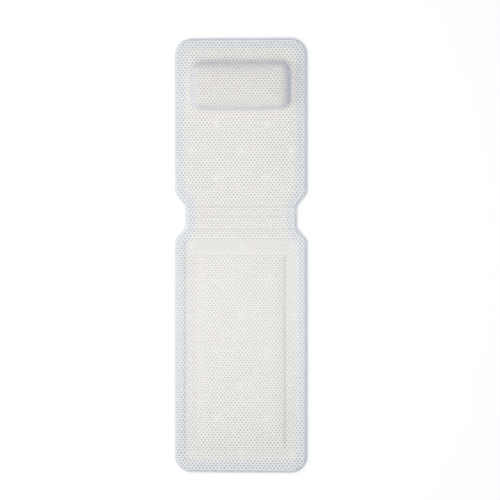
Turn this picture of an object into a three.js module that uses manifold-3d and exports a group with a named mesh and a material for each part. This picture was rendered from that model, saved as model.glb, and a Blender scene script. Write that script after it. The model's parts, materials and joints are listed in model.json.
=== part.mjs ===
// Full-body bath mat: a back panel with a head pillow and a seat panel, joined by a waist of two padded
// ribs that folds on three fused creases. Each panel is a foam slab between a mesh top sheet and a flat base
// sheet, closed by an edge binding. It stands on suction cups whose necks are pushed through the base sheet.
// Millimetres, +Z up, +Y towards the head. The origin is on the floor under the middle of the mat.
import * as THREE from "three";
import { mergeVertices } from "three/addons/utils/BufferGeometryUtils.js";
import Module from "manifold-3d";

// Overall outline
const MAT_LENGTH = 1250;
const MAT_WIDTH = 384;
const CORNER_RADIUS = 50;

// Waist: three creases, each a rib apart, and the flares from the waist to the full width
const WAIST_WIDTH = 324;
const UPPER_CREASE_Y = 141;
const UPPER_RIB = 29;
const LOWER_RIB = 38.5;
const RIB_RISE = 8;
const RIB_SHOULDER = 6.5;
const CREASE_SEAM = 2.5;
const BEAD_RADIUS = 1.9;
const BACK_FLARE = 34;
const SEAT_FLARE = 30;

// Layers
const CUP_STANDOFF = 8;
const BASE_SHEET = 2;
const TOP_SHEET = 2.5;
const FIT_GAP = 0.3;

// Edge binding
const BINDING_WALL = 1.2;
const BINDING_LEG = 2.2;
const BINDING_SETBACK = 1;

// Padding of both panels: its rise above the sewn edge, its round shoulder, and the crown further in
const PADDING_RISE = 10;
const PADDING_SHOULDER = 5.5;
const CROWN_RISE = 2;
const CROWN_WIDTH = 30;

// Seat panel: a padded border, a pressed channel and a centre pad
const BORDER_SIDE = 31;
const BORDER_FAR = 45;
const BORDER_NEAR = 30;
const CHANNEL_SIDE = 33;
const CHANNEL_FAR = 24;
const CHANNEL_NEAR = 41;
const CHANNEL_DROP = 5;
const CHANNEL_CORNER = 12;
const CHANNEL_SHOULDER = 5;

// Head pillow
const PILLOW_WIDTH = 290;
const PILLOW_LENGTH = 139;
const PILLOW_HEAD_MARGIN = 68.5;
const PILLOW_RISE = 44;
const PILLOW_SHOULDER = 20;
const PILLOW_CORNER = 30;
const PILLOW_FLANGE = 4;

// Suction cups
const CUP_RIM_RADIUS = 17;
const CUP_RIM_WIDTH = 1.5;
const CUP_LIP = 0.8;
const CUP_HOLLOW = 4;
const CUP_SHOULDER_RADIUS = 6;
const CUP_SHOULDER = 1.5;
const CUP_NECK_RADIUS = 4;
const CUP_HEAD_RADIUS = 7;
const CUP_HEAD = 2;
const POCKET_GAP = 0.6;
const POCKET_OVERCUT = 1;
const SEAT_ROWS = 7;
const BACK_ROWS = 5;
const BACK_ROW_NEAR = 81;
const BACK_ROW_FAR = 93;

// Facets, and the least corner radius of an inner ring
const FLARE_STEPS = 7;
const CORNER_STEPS = 5;
const RIB_CORNER_STEPS = 2;
const EDGE_STEPS = 3;
const FALL_STEPS = 2;
const PILLOW_STEPS = 5;
const ROUND_SIDES = 10;
const LEAST_CORNER = 1;

// Levels and places that follow from the sizes above
const FOAM_FLOOR = CUP_STANDOFF + BASE_SHEET + FIT_GAP;
const EDGE_TOP = FOAM_FLOOR + TOP_SHEET;
const HEAD_TOP = FOAM_FLOOR + CUP_HEAD;
const PADDING_TOP = EDGE_TOP + PADDING_RISE;
const CHANNEL_TOP = PADDING_TOP - CHANNEL_DROP;
const CROWN_TOP = PADDING_TOP + CROWN_RISE;
const CREASE_Z = CUP_STANDOFF + BASE_SHEET / 2;
const CREASE_GAP = BEAD_RADIUS + FIT_GAP;
const SHEET_INSET = BINDING_WALL + FIT_GAP;
const EDGE_SEAM = SHEET_INSET + BINDING_LEG + FIT_GAP;
const MIDDLE_CREASE_Y = UPPER_CREASE_Y - UPPER_RIB;
const LOWER_CREASE_Y = MIDDLE_CREASE_Y - LOWER_RIB;
const BACK_LENGTH = MAT_LENGTH / 2 - UPPER_CREASE_Y;
const SEAT_LENGTH = MAT_LENGTH / 2 + LOWER_CREASE_Y;
const BACK = { name: "back", length: BACK_LENGTH, flare: BACK_FLARE };
const SEAT = { name: "seat", length: SEAT_LENGTH, flare: SEAT_FLARE };
const CUP_COLUMN = (MAT_WIDTH / 2 - BORDER_SIDE - CHANNEL_SIDE / 2) / 2;

// Finishes
const MESH_WHITE = new THREE.MeshStandardMaterial({ color: 0xe9e7e3, roughness: 0.85, metalness: 0 });
const BASE_WHITE = new THREE.MeshStandardMaterial({ color: 0xe4e4e4, roughness: 0.7, metalness: 0 });
const TAPE_WHITE = new THREE.MeshStandardMaterial({ color: 0xdfe3ea, roughness: 0.6, metalness: 0 });
const FOAM_CREAM = new THREE.MeshStandardMaterial({ color: 0xf0ead8, roughness: 0.95, metalness: 0 });
const CLEAR_VINYL = new THREE.MeshStandardMaterial({ color: 0xdde6ea, roughness: 0.2, metalness: 0 });

const wasm = await Module();
wasm.setup();

// Solids

function solidOf(geometry) {
  const bare = geometry.clone();
  bare.deleteAttribute("normal");
  bare.deleteAttribute("uv");
  const merged = mergeVertices(bare);
  return new wasm.Manifold(
    new wasm.Mesh({
      numProp: 3,
      vertProperties: new Float32Array(merged.attributes.position.array),
      triVerts: new Uint32Array(merged.index.array),
    }),
  );
}

function cut(geometry, tools) {
  const solid = tools.reduce((rest, tool) => rest.subtract(solidOf(tool)), solidOf(geometry));
  const mesh = solid.getMesh();
  return indexedGeometry(mesh.vertProperties, mesh.triVerts);
}

function indexedGeometry(positions, index) {
  const geometry = new THREE.BufferGeometry();
  geometry.setAttribute("position", new THREE.Float32BufferAttribute(positions, 3));
  geometry.setIndex(new THREE.Uint32BufferAttribute(index, 1));
  geometry.computeVertexNormals();
  return geometry;
}

function signedVolume(positions, index) {
  const point = (i) => new THREE.Vector3().fromArray(positions, 3 * i);
  let volume = 0;
  for (let t = 0; t < index.length; t += 3) {
    volume += point(index[t]).dot(point(index[t + 1]).cross(point(index[t + 2]))) / 6;
  }
  return volume;
}

// Joins closed rings of equal length into one skin, and closes both ends with flat caps.
function loft(rings, capOutline) {
  const count = rings[0].length;
  const positions = rings.flat().flatMap((p) => [p.x, p.y, p.z]);
  const index = [];
  for (let r = 0; r + 1 < rings.length; r++) {
    for (let i = 0; i < count; i++) {
      const a = r * count + i;
      const b = r * count + ((i + 1) % count);
      index.push(a, b, a + count, b, b + count, a + count);
    }
  }
  const last = (rings.length - 1) * count;
  for (const [a, b, c] of THREE.ShapeUtils.triangulateShape(capOutline, [])) {
    index.push(a, c, b);
    index.push(last + a, last + b, last + c);
  }
  if (signedVolume(positions, index) < 0) index.reverse();
  return indexedGeometry(positions, index);
}

// Outlines. A panel or rib is drawn in its own group, where Y is the distance from its crease.

function arc(cx, cy, radius, from, to, steps) {
  return Array.from({ length: steps + 1 }, (_, i) => {
    const angle = THREE.MathUtils.degToRad(THREE.MathUtils.lerp(from, to, i / steps));
    return new THREE.Vector2(cx + radius * Math.cos(angle), cy + radius * Math.sin(angle));
  });
}

// Adds the mirror image of a right half, so that the whole runs on round the outline.
function bothHalves(half) {
  return [...half, ...half.map((p) => new THREE.Vector2(-p.x, p.y)).reverse()];
}

// Half width of a panel at a distance from its crease: the waist flares along half a cosine wave.
function halfWidthAt(panel, y) {
  const share = THREE.MathUtils.clamp(y / panel.flare, 0, 1);
  const grown = (1 - Math.cos(Math.PI * share)) / 2;
  return THREE.MathUtils.lerp(WAIST_WIDTH, MAT_WIDTH, grown) / 2;
}

// A panel's edge, taken in by inset, from start on the right round the far end to start on the left.
function panelEdge(panel, inset, start) {
  const flareEnd = Math.max(panel.flare, start + LEAST_CORNER);
  const side = Array.from({ length: FLARE_STEPS + 1 }, (_, i) => {
    const y = THREE.MathUtils.lerp(start, flareEnd, i / FLARE_STEPS);
    return new THREE.Vector2(halfWidthAt(panel, y) - inset, y);
  });
  const radius = Math.max(CORNER_RADIUS, inset + LEAST_CORNER);
  const corner = arc(MAT_WIDTH / 2 - radius, panel.length - radius, radius - inset, 0, 90, CORNER_STEPS);
  return bothHalves([...side, ...corner]);
}

// Where a ring that lies inset in from the mat's sides starts: the seam beside a crease is narrower.
function creaseStart(inset) {
  const seamShare = Math.min((inset - SHEET_INSET) / (EDGE_SEAM - SHEET_INSET), 1);
  return CREASE_GAP + seamShare * CREASE_SEAM + Math.max(inset - EDGE_SEAM, 0);
}

function panelRing(panel, inset) {
  return panelEdge(panel, inset, creaseStart(inset));
}

function rectangleRing(halfWidth, near, far, corner, nearSteps, farSteps) {
  const radius = Math.max(corner, LEAST_CORNER);
  return bothHalves([
    ...arc(halfWidth - radius, near + radius, radius, -90, 0, nearSteps),
    ...arc(halfWidth - radius, far - radius, radius, 0, 90, farSteps),
  ]);
}

// Profiles. A profile lists the rings of an upper surface from its edge inwards, as { ring, s, z }:
// ring(s) gives the outline whose side lies s in from the edge that the profile starts from.

// A flat seam, from one inset to another, is the first two rings.
const SEAM_RINGS = 2;

function seam(ring, start, end, z) {
  return [
    { ring, s: start, z },
    { ring, s: end, z },
  ];
}

// A quarter of an ellipse that leaves its start steeply and ends level.
function swell(ring, start, width, from, to, steps) {
  return Array.from({ length: steps }, (_, i) => {
    const angle = ((i + 1) / steps) * (Math.PI / 2);
    const s = start + width * (1 - Math.cos(angle));
    return { ring, s, z: THREE.MathUtils.lerp(from, to, Math.sin(angle)) };
  });
}

// A quarter of an ellipse that leaves its start level and ends steeply. Its start is its first ring.
function fall(ring, start, width, from, to, steps) {
  return Array.from({ length: steps + 1 }, (_, i) => {
    const angle = (i / steps) * (Math.PI / 2);
    const s = start + width * Math.sin(angle);
    return { ring, s, z: THREE.MathUtils.lerp(to, from, Math.cos(angle)) };
  });
}

// The gentle crown inside a shoulder that ends at start.
function crown(ring, start) {
  return { ring, s: start + CROWN_WIDTH, z: CROWN_TOP };
}

// The same profile, depth further in: below the level stretches and inside the steep ones.
function offsetProfile(profile, depth) {
  const normals = profile.slice(1).map((p, i) => {
    const run = new THREE.Vector2(p.s - profile[i].s, p.z - profile[i].z).normalize();
    return new THREE.Vector2(run.y, -run.x);
  });
  return profile.map((p, i) => {
    const before = normals[Math.max(i - 1, 0)];
    const after = normals[Math.min(i, normals.length - 1)];
    const mitre = depth / (1 + before.dot(after));
    return { ...p, s: p.s + (before.x + after.x) * mitre, z: p.z + (before.y + after.y) * mitre };
  });
}

function placedRing({ ring, s, z }) {
  return ring(s).map((p) => new THREE.Vector3(p.x, p.y, z));
}

// A sheet of even thickness under a profile.
function sheet(profile) {
  const under = offsetProfile(profile, TOP_SHEET).reverse();
  const innermost = profile.at(-1);
  return loft([...under, ...profile].map(placedRing), innermost.ring(innermost.s));
}

// The foam that fills a sheet, inside its flat seam, down to a level floor.
function padding(profile, floor) {
  const top = offsetProfile(profile, TOP_SHEET + FIT_GAP).slice(SEAM_RINGS);
  const bottom = { ...top[0], z: floor };
  return loft([bottom, ...top].map(placedRing), bottom.ring(bottom.s));
}

function baseSheet(outline, holes) {
  const shape = new THREE.Shape(outline);
  const radius = CUP_NECK_RADIUS + FIT_GAP;
  for (const hole of holes) {
    const path = arc(hole.x, hole.y, radius, 0, 360, ROUND_SIDES).slice(1);
    shape.holes.push(new THREE.Path(path));
  }
  const geometry = new THREE.ExtrudeGeometry(shape, { depth: BASE_SHEET, bevelEnabled: false });
  return geometry.translate(0, 0, CUP_STANDOFF);
}

// Edge binding: a folded tape with a wall outside the sheets and a leg above and below them.
// Its section is drawn as (inset from the mat's outer edge, height).
function bindingSection() {
  const under = CUP_STANDOFF - FIT_GAP;
  const over = EDGE_TOP + FIT_GAP;
  const leg = SHEET_INSET + BINDING_LEG;
  return [
    new THREE.Vector2(leg, under),
    new THREE.Vector2(BINDING_WALL, under),
    new THREE.Vector2(BINDING_WALL, over),
    new THREE.Vector2(leg, over),
    new THREE.Vector2(leg, over + BINDING_WALL),
    new THREE.Vector2(0, over + BINDING_WALL),
    new THREE.Vector2(0, under - BINDING_WALL),
    new THREE.Vector2(leg, under - BINDING_WALL),
  ];
}

// pathAt(inset) gives the tape's run, taken in by inset.
function binding(pathAt) {
  const section = bindingSection();
  const paths = section.map((p) => pathAt(p.x));
  const sectionAt = (i) => section.map((p, k) => new THREE.Vector3(paths[k][i].x, paths[k][i].y, p.y));
  return loft(paths[0].map((_, i) => sectionAt(i)), section);
}

// Suction cups: rows of three and two by turns, on columns that line up with the seat's channel.

function cupPlaces(firstRow, lastRow, rows, oddColumns, evenColumns) {
  return Array.from({ length: rows }, (_, row) => {
    const y = THREE.MathUtils.lerp(firstRow, lastRow, row / (rows - 1));
    const columns = row % 2 === 0 ? oddColumns : evenColumns;
    return columns.map((column) => new THREE.Vector2(column * CUP_COLUMN, y));
  }).flat();
}

function suctionCup() {
  const shoulderTop = CUP_STANDOFF - FIT_GAP;
  const profile = [
    new THREE.Vector2(0, CUP_HOLLOW),
    new THREE.Vector2(CUP_RIM_RADIUS - CUP_RIM_WIDTH, 0),
    new THREE.Vector2(CUP_RIM_RADIUS, 0),
    new THREE.Vector2(CUP_RIM_RADIUS, CUP_LIP),
    new THREE.Vector2(CUP_SHOULDER_RADIUS, shoulderTop - CUP_SHOULDER),
    new THREE.Vector2(CUP_SHOULDER_RADIUS, shoulderTop),
    new THREE.Vector2(CUP_NECK_RADIUS, shoulderTop),
    new THREE.Vector2(CUP_NECK_RADIUS, FOAM_FLOOR),
    new THREE.Vector2(CUP_HEAD_RADIUS, FOAM_FLOOR),
    new THREE.Vector2(CUP_HEAD_RADIUS, HEAD_TOP),
    new THREE.Vector2(0, HEAD_TOP),
  ];
  return new THREE.LatheGeometry(profile, ROUND_SIDES).rotateX(Math.PI / 2);
}

// The pocket in a foam's underside that the head of a cup sits in.
function headPocket(place) {
  const floor = FOAM_FLOOR - POCKET_OVERCUT;
  const height = HEAD_TOP + POCKET_GAP - floor;
  const radius = CUP_HEAD_RADIUS + POCKET_GAP;
  const geometry = new THREE.CylinderGeometry(radius, radius, height, ROUND_SIDES).rotateX(Math.PI / 2);
  return geometry.translate(place.x, place.y, floor + height / 2);
}

// Assembly

const mat = new THREE.Group();

function groupAt(y) {
  const group = new THREE.Group();
  group.position.y = y;
  mat.add(group);
  return group;
}

function add(group, name, geometry, material) {
  const mesh = new THREE.Mesh(geometry, material);
  mesh.name = name;
  group.add(mesh);
  return mesh;
}

// The layers of a panel, and its cups.
function addPanel(group, panel, profile, cups) {
  const edge = panelRing(panel, SHEET_INSET);
  const tapeStart = CREASE_GAP + BINDING_SETBACK;
  const tape = binding((inset) => panelEdge(panel, inset, tapeStart));
  add(group, `${panel.name}_top_sheet`, sheet(profile), MESH_WHITE);
  add(group, `${panel.name}_foam`, cut(padding(profile, FOAM_FLOOR), cups.map(headPocket)), FOAM_CREAM);
  add(group, `${panel.name}_base_sheet`, baseSheet(edge, cups), BASE_WHITE);
  add(group, `${panel.name}_edge_binding`, tape, TAPE_WHITE);
  cups.forEach((place, i) => {
    const cup = add(group, `${panel.name}_cup_${i + 1}`, suctionCup(), CLEAR_VINYL);
    cup.position.set(place.x, place.y, 0);
  });
}

function addBackPanel(group) {
  const ring = (s) => panelRing(BACK, s);
  const profile = [
    ...seam(ring, SHEET_INSET, EDGE_SEAM, EDGE_TOP),
    ...swell(ring, EDGE_SEAM, PADDING_SHOULDER, EDGE_TOP, PADDING_TOP, EDGE_STEPS),
    crown(ring, EDGE_SEAM + PADDING_SHOULDER),
  ];
  const cups = cupPlaces(BACK_ROW_NEAR, BACK_LENGTH - BACK_ROW_FAR, BACK_ROWS, [-1, 1], [-2, 0, 2]);
  addPanel(group, BACK, profile, cups);
  addPillow(group, BACK_LENGTH - PILLOW_HEAD_MARGIN, CROWN_TOP + FIT_GAP);
}

function addPillow(group, far, floor) {
  const near = far - PILLOW_LENGTH;
  const ring = (s) =>
    rectangleRing(PILLOW_WIDTH / 2 - s, near + s, far - s, PILLOW_CORNER - s / 2, CORNER_STEPS, CORNER_STEPS);
  const rim = floor + TOP_SHEET;
  const profile = [
    ...seam(ring, 0, PILLOW_FLANGE, rim),
    ...swell(ring, PILLOW_FLANGE, PILLOW_SHOULDER, rim, rim + PILLOW_RISE, PILLOW_STEPS),
  ];
  add(group, "pillow_cover", sheet(profile), MESH_WHITE);
  add(group, "pillow_foam", padding(profile, floor), FOAM_CREAM);
}

// A rectangle round the seat whose sides, near end and far end lie at these insets where s is the side's.
function channelRing(side, near, far) {
  return (s) => {
    const grown = side - s;
    const corner = CHANNEL_CORNER + grown / 2;
    return rectangleRing(
      MAT_WIDTH / 2 - s, near - grown, SEAT_LENGTH - far + grown, corner, FLARE_STEPS, CORNER_STEPS,
    );
  };
}

function addSeatPanel(group) {
  const edge = (s) => panelRing(SEAT, s);
  const channelInside = BORDER_SIDE + CHANNEL_SIDE;
  const outer = channelRing(BORDER_SIDE, BORDER_NEAR, BORDER_FAR);
  const inner = channelRing(channelInside, BORDER_NEAR + CHANNEL_NEAR, BORDER_FAR + CHANNEL_FAR);
  const profile = [
    ...seam(edge, SHEET_INSET, EDGE_SEAM, EDGE_TOP),
    ...swell(edge, EDGE_SEAM, PADDING_SHOULDER, EDGE_TOP, PADDING_TOP, EDGE_STEPS),
    ...fall(outer, BORDER_SIDE - CHANNEL_SHOULDER, CHANNEL_SHOULDER, PADDING_TOP, CHANNEL_TOP, FALL_STEPS),
    { ring: inner, s: channelInside, z: CHANNEL_TOP },
    ...swell(inner, channelInside, CHANNEL_SHOULDER, CHANNEL_TOP, PADDING_TOP, EDGE_STEPS),
    crown(inner, channelInside + CHANNEL_SHOULDER),
  ];
  const firstRow = BORDER_NEAR + CHANNEL_NEAR / 2;
  const lastRow = SEAT_LENGTH - BORDER_FAR - CHANNEL_FAR / 2;
  const cups = cupPlaces(firstRow, lastRow, SEAT_ROWS, [-2, 0, 2], [-1, 1]);
  addPanel(group, SEAT, profile, cups);
}

// A padded rib of the waist, from its own crease to the next one, pitch further towards the head.
function addRib(group, name, pitch) {
  const ring = (s) => {
    const near = creaseStart(s);
    const steps = RIB_CORNER_STEPS;
    return rectangleRing(WAIST_WIDTH / 2 - s, near, pitch - near, LEAST_CORNER, steps, steps);
  };
  const profile = [
    ...seam(ring, SHEET_INSET, EDGE_SEAM, EDGE_TOP),
    ...swell(ring, EDGE_SEAM, RIB_SHOULDER, EDGE_TOP, EDGE_TOP + RIB_RISE, EDGE_STEPS),
  ];
  const tapeStart = CREASE_GAP + BINDING_SETBACK;
  const tape = (side) => (inset) =>
    [tapeStart, pitch - tapeStart].map((y) => new THREE.Vector2(side * (WAIST_WIDTH / 2 - inset), y));
  add(group, `${name}_top_sheet`, sheet(profile), MESH_WHITE);
  add(group, `${name}_foam`, padding(profile, FOAM_FLOOR), FOAM_CREAM);
  add(group, `${name}_base_sheet`, baseSheet(ring(SHEET_INSET), []), BASE_WHITE);
  add(group, `${name}_binding_left`, binding(tape(-1)), TAPE_WHITE);
  add(group, `${name}_binding_right`, binding(tape(1)), TAPE_WHITE);
}

// The fused bead that the two sides of a crease fold on.
function addCreaseWeld(group, name) {
  const length = WAIST_WIDTH - 2 * SHEET_INSET;
  const geometry = new THREE.CylinderGeometry(BEAD_RADIUS, BEAD_RADIUS, length, ROUND_SIDES);
  const bead = add(group, name, geometry.rotateZ(Math.PI / 2), TAPE_WHITE);
  bead.position.z = CREASE_Z;
}

const seat = groupAt(LOWER_CREASE_Y);
seat.rotation.z = Math.PI;
addSeatPanel(seat);
addCreaseWeld(seat, "crease_weld_lower");

const lowerRib = groupAt(LOWER_CREASE_Y);
addRib(lowerRib, "lower_rib", LOWER_RIB);

const upperRib = groupAt(MIDDLE_CREASE_Y);
addRib(upperRib, "upper_rib", UPPER_RIB);
addCreaseWeld(upperRib, "crease_weld_middle");

const back = groupAt(UPPER_CREASE_Y);
addBackPanel(back);
addCreaseWeld(back, "crease_weld_upper");

export default mat;
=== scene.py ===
"""Looks of the full-body bath mat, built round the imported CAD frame.

The mat is a dotted mesh cover over foam. A back panel carries a head pillow, a waist folds on three
creases, and a seat panel has a pad framed by a pressed channel. Lengths are metres, +Z is up and +Y
points to the head end.
"""

import json
import logging
import math
from dataclasses import dataclass
from enum import Enum
from typing import Callable, Sequence

import bpy
import numpy as np
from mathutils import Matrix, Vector
from mathutils.geometry import delaunay_2d_cdt


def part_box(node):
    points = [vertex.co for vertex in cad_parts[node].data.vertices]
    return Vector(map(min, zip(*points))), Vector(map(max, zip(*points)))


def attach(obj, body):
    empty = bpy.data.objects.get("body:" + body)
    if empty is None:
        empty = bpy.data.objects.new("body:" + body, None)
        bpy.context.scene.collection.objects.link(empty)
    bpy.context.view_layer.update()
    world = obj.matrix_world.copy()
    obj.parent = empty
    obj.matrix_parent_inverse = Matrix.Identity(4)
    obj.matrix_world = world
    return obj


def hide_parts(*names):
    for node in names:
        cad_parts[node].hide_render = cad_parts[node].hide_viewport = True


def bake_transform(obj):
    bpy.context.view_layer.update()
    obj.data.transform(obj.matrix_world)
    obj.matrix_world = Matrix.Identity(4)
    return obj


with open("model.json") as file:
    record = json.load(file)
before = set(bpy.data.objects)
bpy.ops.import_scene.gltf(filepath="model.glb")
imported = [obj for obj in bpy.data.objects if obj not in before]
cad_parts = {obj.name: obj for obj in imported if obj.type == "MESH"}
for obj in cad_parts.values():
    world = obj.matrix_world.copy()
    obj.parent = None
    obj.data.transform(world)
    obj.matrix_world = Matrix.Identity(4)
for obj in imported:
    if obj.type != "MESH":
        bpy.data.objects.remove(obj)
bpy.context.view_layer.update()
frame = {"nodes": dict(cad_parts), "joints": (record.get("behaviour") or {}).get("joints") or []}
LOG = logging.getLogger("bath_mat")
FULL_TURN = 2.0 * math.pi
QUARTER_TURN = math.pi / 2.0
MIRROR = np.array([-1.0, 1.0])
WHITE = (1.0, 1.0, 1.0, 1.0)
Array = np.ndarray
Piece = bpy.types.Object
Material = bpy.types.Material
Socket = bpy.types.NodeSocket
Colour = tuple[float, float, float]
# Where a ramp starts, and how long it is
Run = tuple[float, float]
# Gives something for each place, from its x and y
PlanFunction = Callable[[Array, Array], Array]


def ramp(value: Array, start: float, run: float) -> Array:
    """Ease from 0 at start to 1 a run further on, level at both ends."""
    share = np.clip((value - start) / run, 0.0, 1.0)
    return share * share * (3.0 - 2.0 * share)


def swell(share: Array, power: float) -> Array:
    """Rise steeply from 0 and end level at 1: one less what is left of the way, raised to a power."""
    return 1.0 - (1.0 - np.clip(share, 0.0, 1.0)) ** power


def unit(vectors: Array) -> Array:
    """Vectors of length 1 in the same directions."""
    return vectors / np.maximum(np.linalg.norm(vectors, axis=-1, keepdims=True), 1e-12)


def directions(surface: PlanFunction, x: Array, y: Array, step: float = 0.0005) -> Array:
    """A surface's outward directions, square to small steps across and along it."""
    across = surface(x + step, y) - surface(x - step, y)
    along = surface(x, y + step) - surface(x, y - step)
    return unit(np.cross(across, along))


def walls(index: Array) -> Array:
    """The four-sided faces between each closed row of point numbers and the next row."""
    beside = np.roll(index, -1, axis=1)
    return np.stack([index[:-1], index[1:], beside[1:], beside[:-1]], axis=-1).reshape(-1, 4)


def new_piece(name: str, points: Array, faces: Sequence[Array]) -> Piece:
    """Make a smooth-shaded mesh object at the origin.

    Args:
        name: The object's name.
        points: Corner points, one row of x, y and z each.
        faces: Blocks of faces, each an array of rows with one corner index per column.

    Returns:
        The new object, linked to the scene.
    """
    mesh = bpy.data.meshes.new(name)
    mesh.from_pydata(points.tolist(), [], [face for block in faces for face in block.tolist()])
    mesh.polygons.foreach_set("use_smooth", np.ones(len(mesh.polygons), bool))
    mesh.update()
    piece = bpy.data.objects.new(name, mesh)
    bpy.context.scene.collection.objects.link(piece)
    return piece


def set_attribute(piece: Piece, name: str, values: Array) -> None:
    """Store one number for each point of a piece under a name that a material reads."""
    attribute = piece.data.attributes.new(name, "FLOAT", "POINT")
    attribute.data.foreach_set("value", values.astype(np.float32))


def set_plan(piece: Piece, uv: Array) -> None:
    """Give a piece a UV map from one pair of numbers for each point."""
    corners = np.empty(len(piece.data.loops), np.int32)
    piece.data.loops.foreach_get("vertex_index", corners)
    layer = piece.data.uv_layers.new(name="tape")
    layer.data.foreach_set("uv", uv[corners].astype(np.float32).ravel())


def dress(piece: Piece, material: Material, nodes: Sequence[str]) -> None:
    """Give a piece its finish, hide the CAD nodes that it stands for, and report it."""
    piece.data.materials.append(material)
    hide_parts(*nodes)
    LOG.info("%s: %d faces", piece.name, len(piece.data.polygons))


class Wire:
    """A shader value on which Python's arithmetic adds Math nodes."""

    def __init__(self, graph: "Graph", socket: Socket) -> None:
        """Wrap an output socket of a node in graph."""
        self.graph = graph
        self.socket = socket

    @staticmethod
    def _maths(operation: str, swapped: bool = False) -> Callable[..., "Wire"]:
        """Make a method that adds a Math node.

        Args:
            operation: What the node does with its two values.
            swapped: Whether the other value comes first, as in the reflected forms.

        Returns:
            The method.
        """

        def method(wire: "Wire", other: "Wire | float" = 0.0) -> "Wire":
            """Work on this value and the other, where the operation takes two."""
            first, second = (other, wire) if swapped else (wire, other)
            node = wire.graph.node("ShaderNodeMath", {"operation": operation}, {0: first, 1: second})
            return Wire(wire.graph, node.outputs[0])

        return method

    __add__ = _maths("ADD")
    __radd__ = _maths("ADD", swapped=True)
    __sub__ = _maths("SUBTRACT")
    __rsub__ = _maths("SUBTRACT", swapped=True)
    __mul__ = _maths("MULTIPLY")
    __rmul__ = _maths("MULTIPLY", swapped=True)
    __lt__ = _maths("LESS_THAN")
    sine = _maths("SINE")
    fraction = _maths("FRACT")
    size = _maths("ABSOLUTE")


class Graph:
    """The nodes of one material or of the world, with a shorthand for adding them."""

    def __init__(self, tree: bpy.types.NodeTree) -> None:
        """Start on an emptied node tree."""
        self.tree = tree
        tree.nodes.clear()

    @classmethod
    def of_material(cls, name: str) -> tuple["Graph", Material]:
        """Make a material with an empty tree."""
        material = bpy.data.materials.new(name)
        material.use_nodes = True
        return cls(material.node_tree), material

    def node(self, kind: str, settings: dict | None = None, inputs: dict | None = None) -> bpy.types.Node:
        """Add a node.

        Args:
            kind: The node's type.
            settings: Its properties, set before its sockets.
            inputs: Values or links by socket name or number.

        Returns:
            The node.
        """
        node = self.tree.nodes.new(kind)
        for key, value in (settings or {}).items():
            setattr(node, key, value)
        for key, value in (inputs or {}).items():
            if isinstance(value, Wire):
                value = value.socket
            if isinstance(value, Socket):
                self.tree.links.new(value, node.inputs[key])
            else:
                node.inputs[key].default_value = value
        return node

    def attribute(self, name: str) -> Wire:
        """A number stored for each point of the piece."""
        node = self.node("ShaderNodeAttribute", {"attribute_name": name})
        return Wire(self, node.outputs["Fac"])

    def pair(self, point: Socket) -> tuple[Wire, Wire]:
        """The first two parts of a vector."""
        parts = self.node("ShaderNodeSeparateXYZ", inputs={0: point})
        return Wire(self, parts.outputs[0]), Wire(self, parts.outputs[1])

    def place(self) -> Socket:
        """The surface point, in the object's own metres."""
        return self.node("ShaderNodeTexCoord").outputs["Object"]

    def noise(self, scale: float) -> Wire:
        """Cloudy noise about one half, on object coordinates, with scale cells to a metre."""
        inputs = {"Vector": self.place(), "Scale": scale, "Detail": 2.0}
        return Wire(self, self.node("ShaderNodeTexNoise", inputs=inputs).outputs["Fac"])

    def mixed(self, share: Wire, first: Colour | Socket, second: Colour) -> Socket:
        """A colour that goes from first to second as share goes from 0 to 1."""
        start = first if isinstance(first, Socket) else rgba(first)
        inputs = {"Factor": share, 6: start, 7: rgba(second)}
        return self.node("ShaderNodeMix", {"data_type": "RGBA"}, inputs).outputs[2]

    def bump(self, height: Wire, distance: float, strength: float) -> Socket:
        """A normal bent by a height of that distance."""
        inputs = {"Height": height, "Distance": distance, "Strength": strength}
        return self.node("ShaderNodeBump", inputs=inputs).outputs["Normal"]

    def finish(self, inputs: dict) -> None:
        """Close a material with a Principled shader of these inputs."""
        shader = self.node("ShaderNodeBsdfPrincipled", inputs=inputs)
        self.node("ShaderNodeOutputMaterial", inputs={"Surface": shader.outputs[0]})


def rgba(colour: Colour) -> tuple[float, float, float, float]:
    """A colour with full cover."""
    return (colour[0], colour[1], colour[2], 1.0)


@dataclass(frozen=True)
class DottedMesh:
    """The cover's spacer mesh: warm white knit with painted cool shade towards the rim, and hole floors
    darkened partly for the spacer yarn seen through them and partly as painted shade.
    """

    knit: Colour = (0.872, 0.848, 0.822)
    shade: Colour = (0.838, 0.828, 0.818)
    # Painted cool shade, mixed in by the rim attribute where the cloth falls to the edges and down the
    # pillow's walls.
    rim: Colour = (0.784, 0.808, 0.858)
    # Hole floors: partly the darker spacer yarn seen through the mesh, partly painted shade. The hole
    # attribute also paints shade in the creases, the channel and at the pillow's foot.
    hole: Colour = (0.50, 0.49, 0.49)
    loop_width: float = 0.0011
    loop_length: float = 0.0015
    loop_bend: float = 0.9
    fuzz_cells: float = 1400.0
    cloud_cells: float = 11.0
    relief: float = 0.00025

    def material(self, name: str) -> Material:
        """Build the finish: fine knit bump, faint random clouds of a darker tone, darkened holes and painted
        shade from the hole attribute, and painted cool shade from the rim attribute.
        """
        graph, material = Graph.of_material(name)
        x, y = graph.pair(graph.place())
        wale = (x * (FULL_TURN / self.loop_width)).sine()
        course = (y * (FULL_TURN / self.loop_length) + wale * self.loop_bend).sine()
        fuzz = graph.noise(self.fuzz_cells)
        colour = graph.mixed(graph.noise(self.cloud_cells), self.knit, self.shade)
        # Painted cool shade from the rim attribute.
        rim_shaded = graph.mixed(graph.attribute("rim"), colour, self.rim)
        graph.finish({
            # Darker towards the hole colour by the hole attribute: hole floors, and painted shade in
            # creases, channel and pillow foot.
            "Base Color": graph.mixed(graph.attribute("hole"), rim_shaded, self.hole),
            "Roughness": 0.84 + 0.12 * fuzz,
            "Specular IOR Level": 0.25,
            "Sheen Weight": 0.12,
            "Sheen Roughness": 0.5,
            "Normal": graph.bump(course * 0.5 + wale * 0.25 + fuzz * 0.6, self.relief, 0.5),
        })
        return material


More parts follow.
